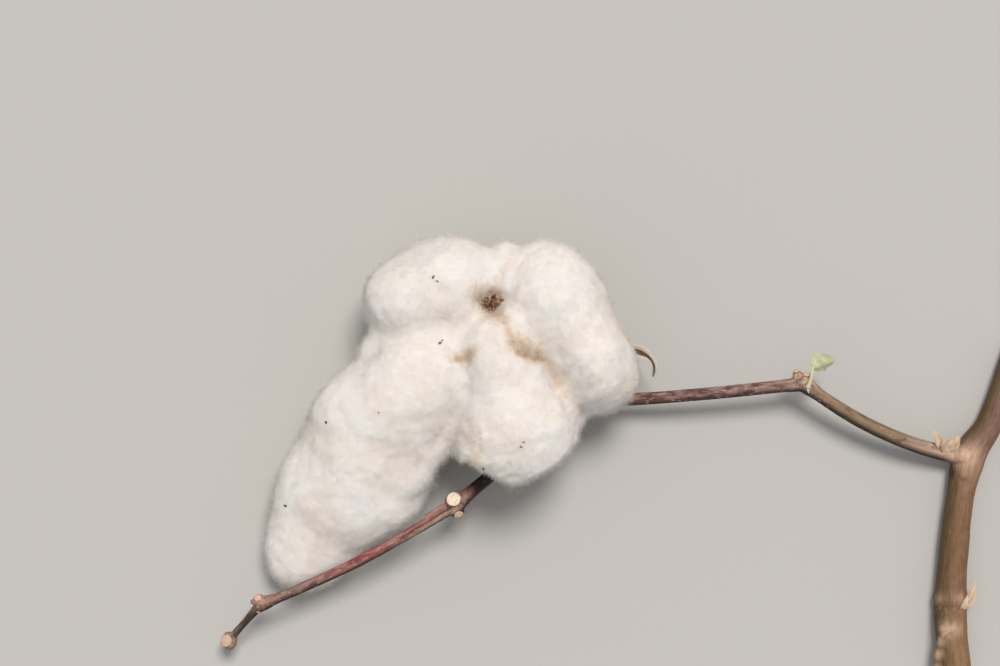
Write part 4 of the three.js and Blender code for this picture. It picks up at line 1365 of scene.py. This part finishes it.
# warm cream patches drift through the white ones
patches = noise_at(at, 0.06, 16) + noise_at(at, 0.17, 17) * 0.5
is_warm = patches + draw.normal(scale=0.22, size=len(at)) > 0.05
batches = []
for name, chosen, material in (
    ("cotton_fibres_white", (level <= CREAM_FROM) & ~is_warm, white_fibre),
    ("cotton_fibres_warm", (level <= CREAM_FROM) & is_warm, warm_fibre),
):
    some = np.flatnonzero(chosen)
    parts = np.array_split(some, math.ceil(len(some) / FIBRES_A_PIECE))
    batches += [(f"{name}_{n + 1}", part, material) for n, part in enumerate(parts)]
cream = np.flatnonzero((level > CREAM_FROM) & (level <= TAN_FROM))
batches.append(("cotton_fibres_cream", cream, fibre_finish("cream_fibre", CREAM_FIBRE)))
batches.append(("cotton_fibres_tan", np.flatnonzero(level > TAN_FROM), fibre_finish("tan_fibre", TAN_FIBRE)))
for name, some, material in batches:
    towards = draw.normal(size=(len(some), 3))
    towards -= normal[some] * np.sum(towards * normal[some], axis=1, keepdims=True)
    length = draw.uniform(*FIBRE_LENGTH, len(some))
    lift = draw.exponential(FIBRE_LIFT, len(some))
    tail = np.minimum(draw.gamma(1.0, FIBRE_TAIL, len(some)), LONGEST_TAIL)
    mesh = fibre_mesh(name, at[some], normal[some], towards, length, lift, tail, draw)
    fit(new_object(name, mesh), material, "cotton")

wisps = []
for place, reach, towards, count, longest in WISPS:
    gaps = np.linalg.norm(at - np.array(place), axis=1)
    near = np.argsort(gaps + draw.uniform(0, reach, len(gaps)))[:count]
    # hairs that leave side by side run together to one tip, as a twist of lint does
    _, lot = np.unique(np.floor(at[near] / WISP_TWIST).astype(int), axis=0, return_inverse=True)
    lot = lot.ravel()
    lots = lot.max() + 1
    roots = np.stack([np.bincount(lot, at[near][:, n]) / np.bincount(lot) for n in range(3)], axis=1)
    ways = unit(np.array(towards) + draw.normal(scale=WISP_SPREAD, size=(lots, 3)))
    tips = roots + ways * draw.uniform(0.25, 1.0, (lots, 1)) * longest
    way = tips[lot] + draw.normal(scale=WISP_LOOSENESS, size=(count, 3)) - at[near]
    wisps.append((near, way))
chosen = np.concatenate([near for near, _ in wisps])
towards = np.concatenate([way for _, way in wisps])
length = np.linalg.norm(towards, axis=1) * WISP_SLACK
lift = draw.exponential(WISP_LIFT, len(chosen))
wisp_mesh = fibre_mesh("cotton_wisps", at[chosen], normal[chosen], towards, length, lift, lift * 0, draw)
fit(new_object("cotton_wisps", wisp_mesh), white_fibre, "cotton")

# The withered flower: what is left of its petals and style, a tuft of brown shreds caught in the
# crease where the upper locks meet. A few crumbs of dry leaf cling to the cotton elsewhere.
TUFT_OVER = (-48.3, 54.2)
TUFT_SHREDS = 60
TUFT_LENGTH = (2.0, 4.8)
TUFT_LEAN = (0.25, 0.9)
TUFT_STRETCH = (1.25, 0.8)
TUFT_SUNK = 0.9
TIP_SCATTER = 0.7
TUFT_SPREAD = (0.3, 3.0)
SHRED_BREADTH = (0.55, 1.35)
SHRED_THICKNESS = 0.1
SHRED_ROWS = (4, 9)
TUFT_BROWN = (0.2, 0.1, 0.05, 1)
TUFT_TAN = (0.66, 0.45, 0.29, 1)
CRUMBS = (
    # place seen from above in millimetres, size
    ((-66.6, 61.6), 0.42), ((-67.9, 63), 0.55), ((-38.3, 5.8), 0.42), ((-65.7, 40.7), 0.5),
    ((-65, 41.6), 0.34), ((-105, 13.5), 0.45), ((-86.5, 17), 0.3), ((-51, -2), 0.4),
    ((-37.4, 7.4), 0.28), ((-120, -16), 0.45),
)
CRUMB_SHAPE = (1.3, 0.8, 0.5)
CRUMB_LIFT = 0.25
CRUMB_BROWN = (0.055, 0.032, 0.022, 1)


def skin_top(x, y):
    """The highest point of the cotton over a place that is seen from above."""
    under = np.argsort(np.hypot(at[:, 0] - x, at[:, 1] - y))[:40]
    return at[under][:, 2].max()


dice = np.random.default_rng(5)
tuft_form = bmesh.new()
tuft_root = Vector((*TUFT_OVER, skin_top(*TUFT_OVER)))
for n in range(TUFT_SHREDS):
    way = dice.uniform(0, 2 * math.pi)
    lean = dice.uniform(*TUFT_LEAN)
    out = Vector((TUFT_STRETCH[0] * math.cos(way), TUFT_STRETCH[1] * math.sin(way), 0)) * lean
    root = tuft_root + out * dice.uniform(*TUFT_SPREAD) - Vector((0, 0, TUFT_SUNK))
    reach = dice.uniform(*TUFT_LENGTH)
    top = root + out * reach * 0.55 + Vector((0, 0, reach * (1.05 - 0.5 * lean)))
    tip = top + out * reach * 0.35 + Vector(dice.normal(scale=TIP_SCATTER, size=3))
    breadth = dice.uniform(*SHRED_BREADTH)
    face = (dice.normal(), dice.normal(), 1.2)
    shape = lambda t: breadth * (1 - t) ** 0.7 + 0.05
    add_blade(tuft_form, (root, top, tip), shape, 0.6, face, n * 1.3, rows=SHRED_ROWS)
finish = Finish("withered_flower", Specular_IOR_Level=0.2)
shreds = finish.cloud(650.0, 2.0)
ribs = finish.noise(finish.attribute("blade", "Vector"), (2.0, 1, 0.2))
tone = finish.blend(TUFT_BROWN, TUFT_TAN, (shreds * 0.8 + ribs * 0.4).between(0.55, 0.68))
tuft_material = finish.surface(finish.shade(tone, 0.6 + ribs * 0.8), 0.6 + ribs * 0.3, ribs)
thin_piece("withered_flower", tuft_form, SHRED_THICKNESS, tuft_material, "husk", "flower_remains")

crumb_form = bmesh.new()
for (x, y), size in CRUMBS:
    grown = bmesh.ops.create_icosphere(crumb_form, subdivisions=2, radius=size)["verts"]
    for v in grown:
        v.co *= 1 + 0.5 * noise.noise(v.co * 3 + Vector((x, y, 0)))
    bmesh.ops.scale(crumb_form, vec=CRUMB_SHAPE, verts=grown)
    bmesh.ops.rotate(crumb_form, cent=(0, 0, 0), matrix=Matrix.Rotation(x, 3, "Z"), verts=grown)
    bmesh.ops.translate(crumb_form, vec=Vector((x, y, skin_top(x, y) + CRUMB_LIFT)), verts=grown)
crumbs = piece_of("leaf_crumbs", crumb_form)
crumbs.data.shade_smooth()
finish = Finish("leaf_crumbs", Specular_IOR_Level=0.2)
grit = finish.cloud(3000.0, 3.0, 0.55)
crumb_material = finish.surface(finish.shade(CRUMB_BROWN, 0.5 + grit), 0.6 + grit * 0.3)
fit(crumbs, crumb_material, "husk")
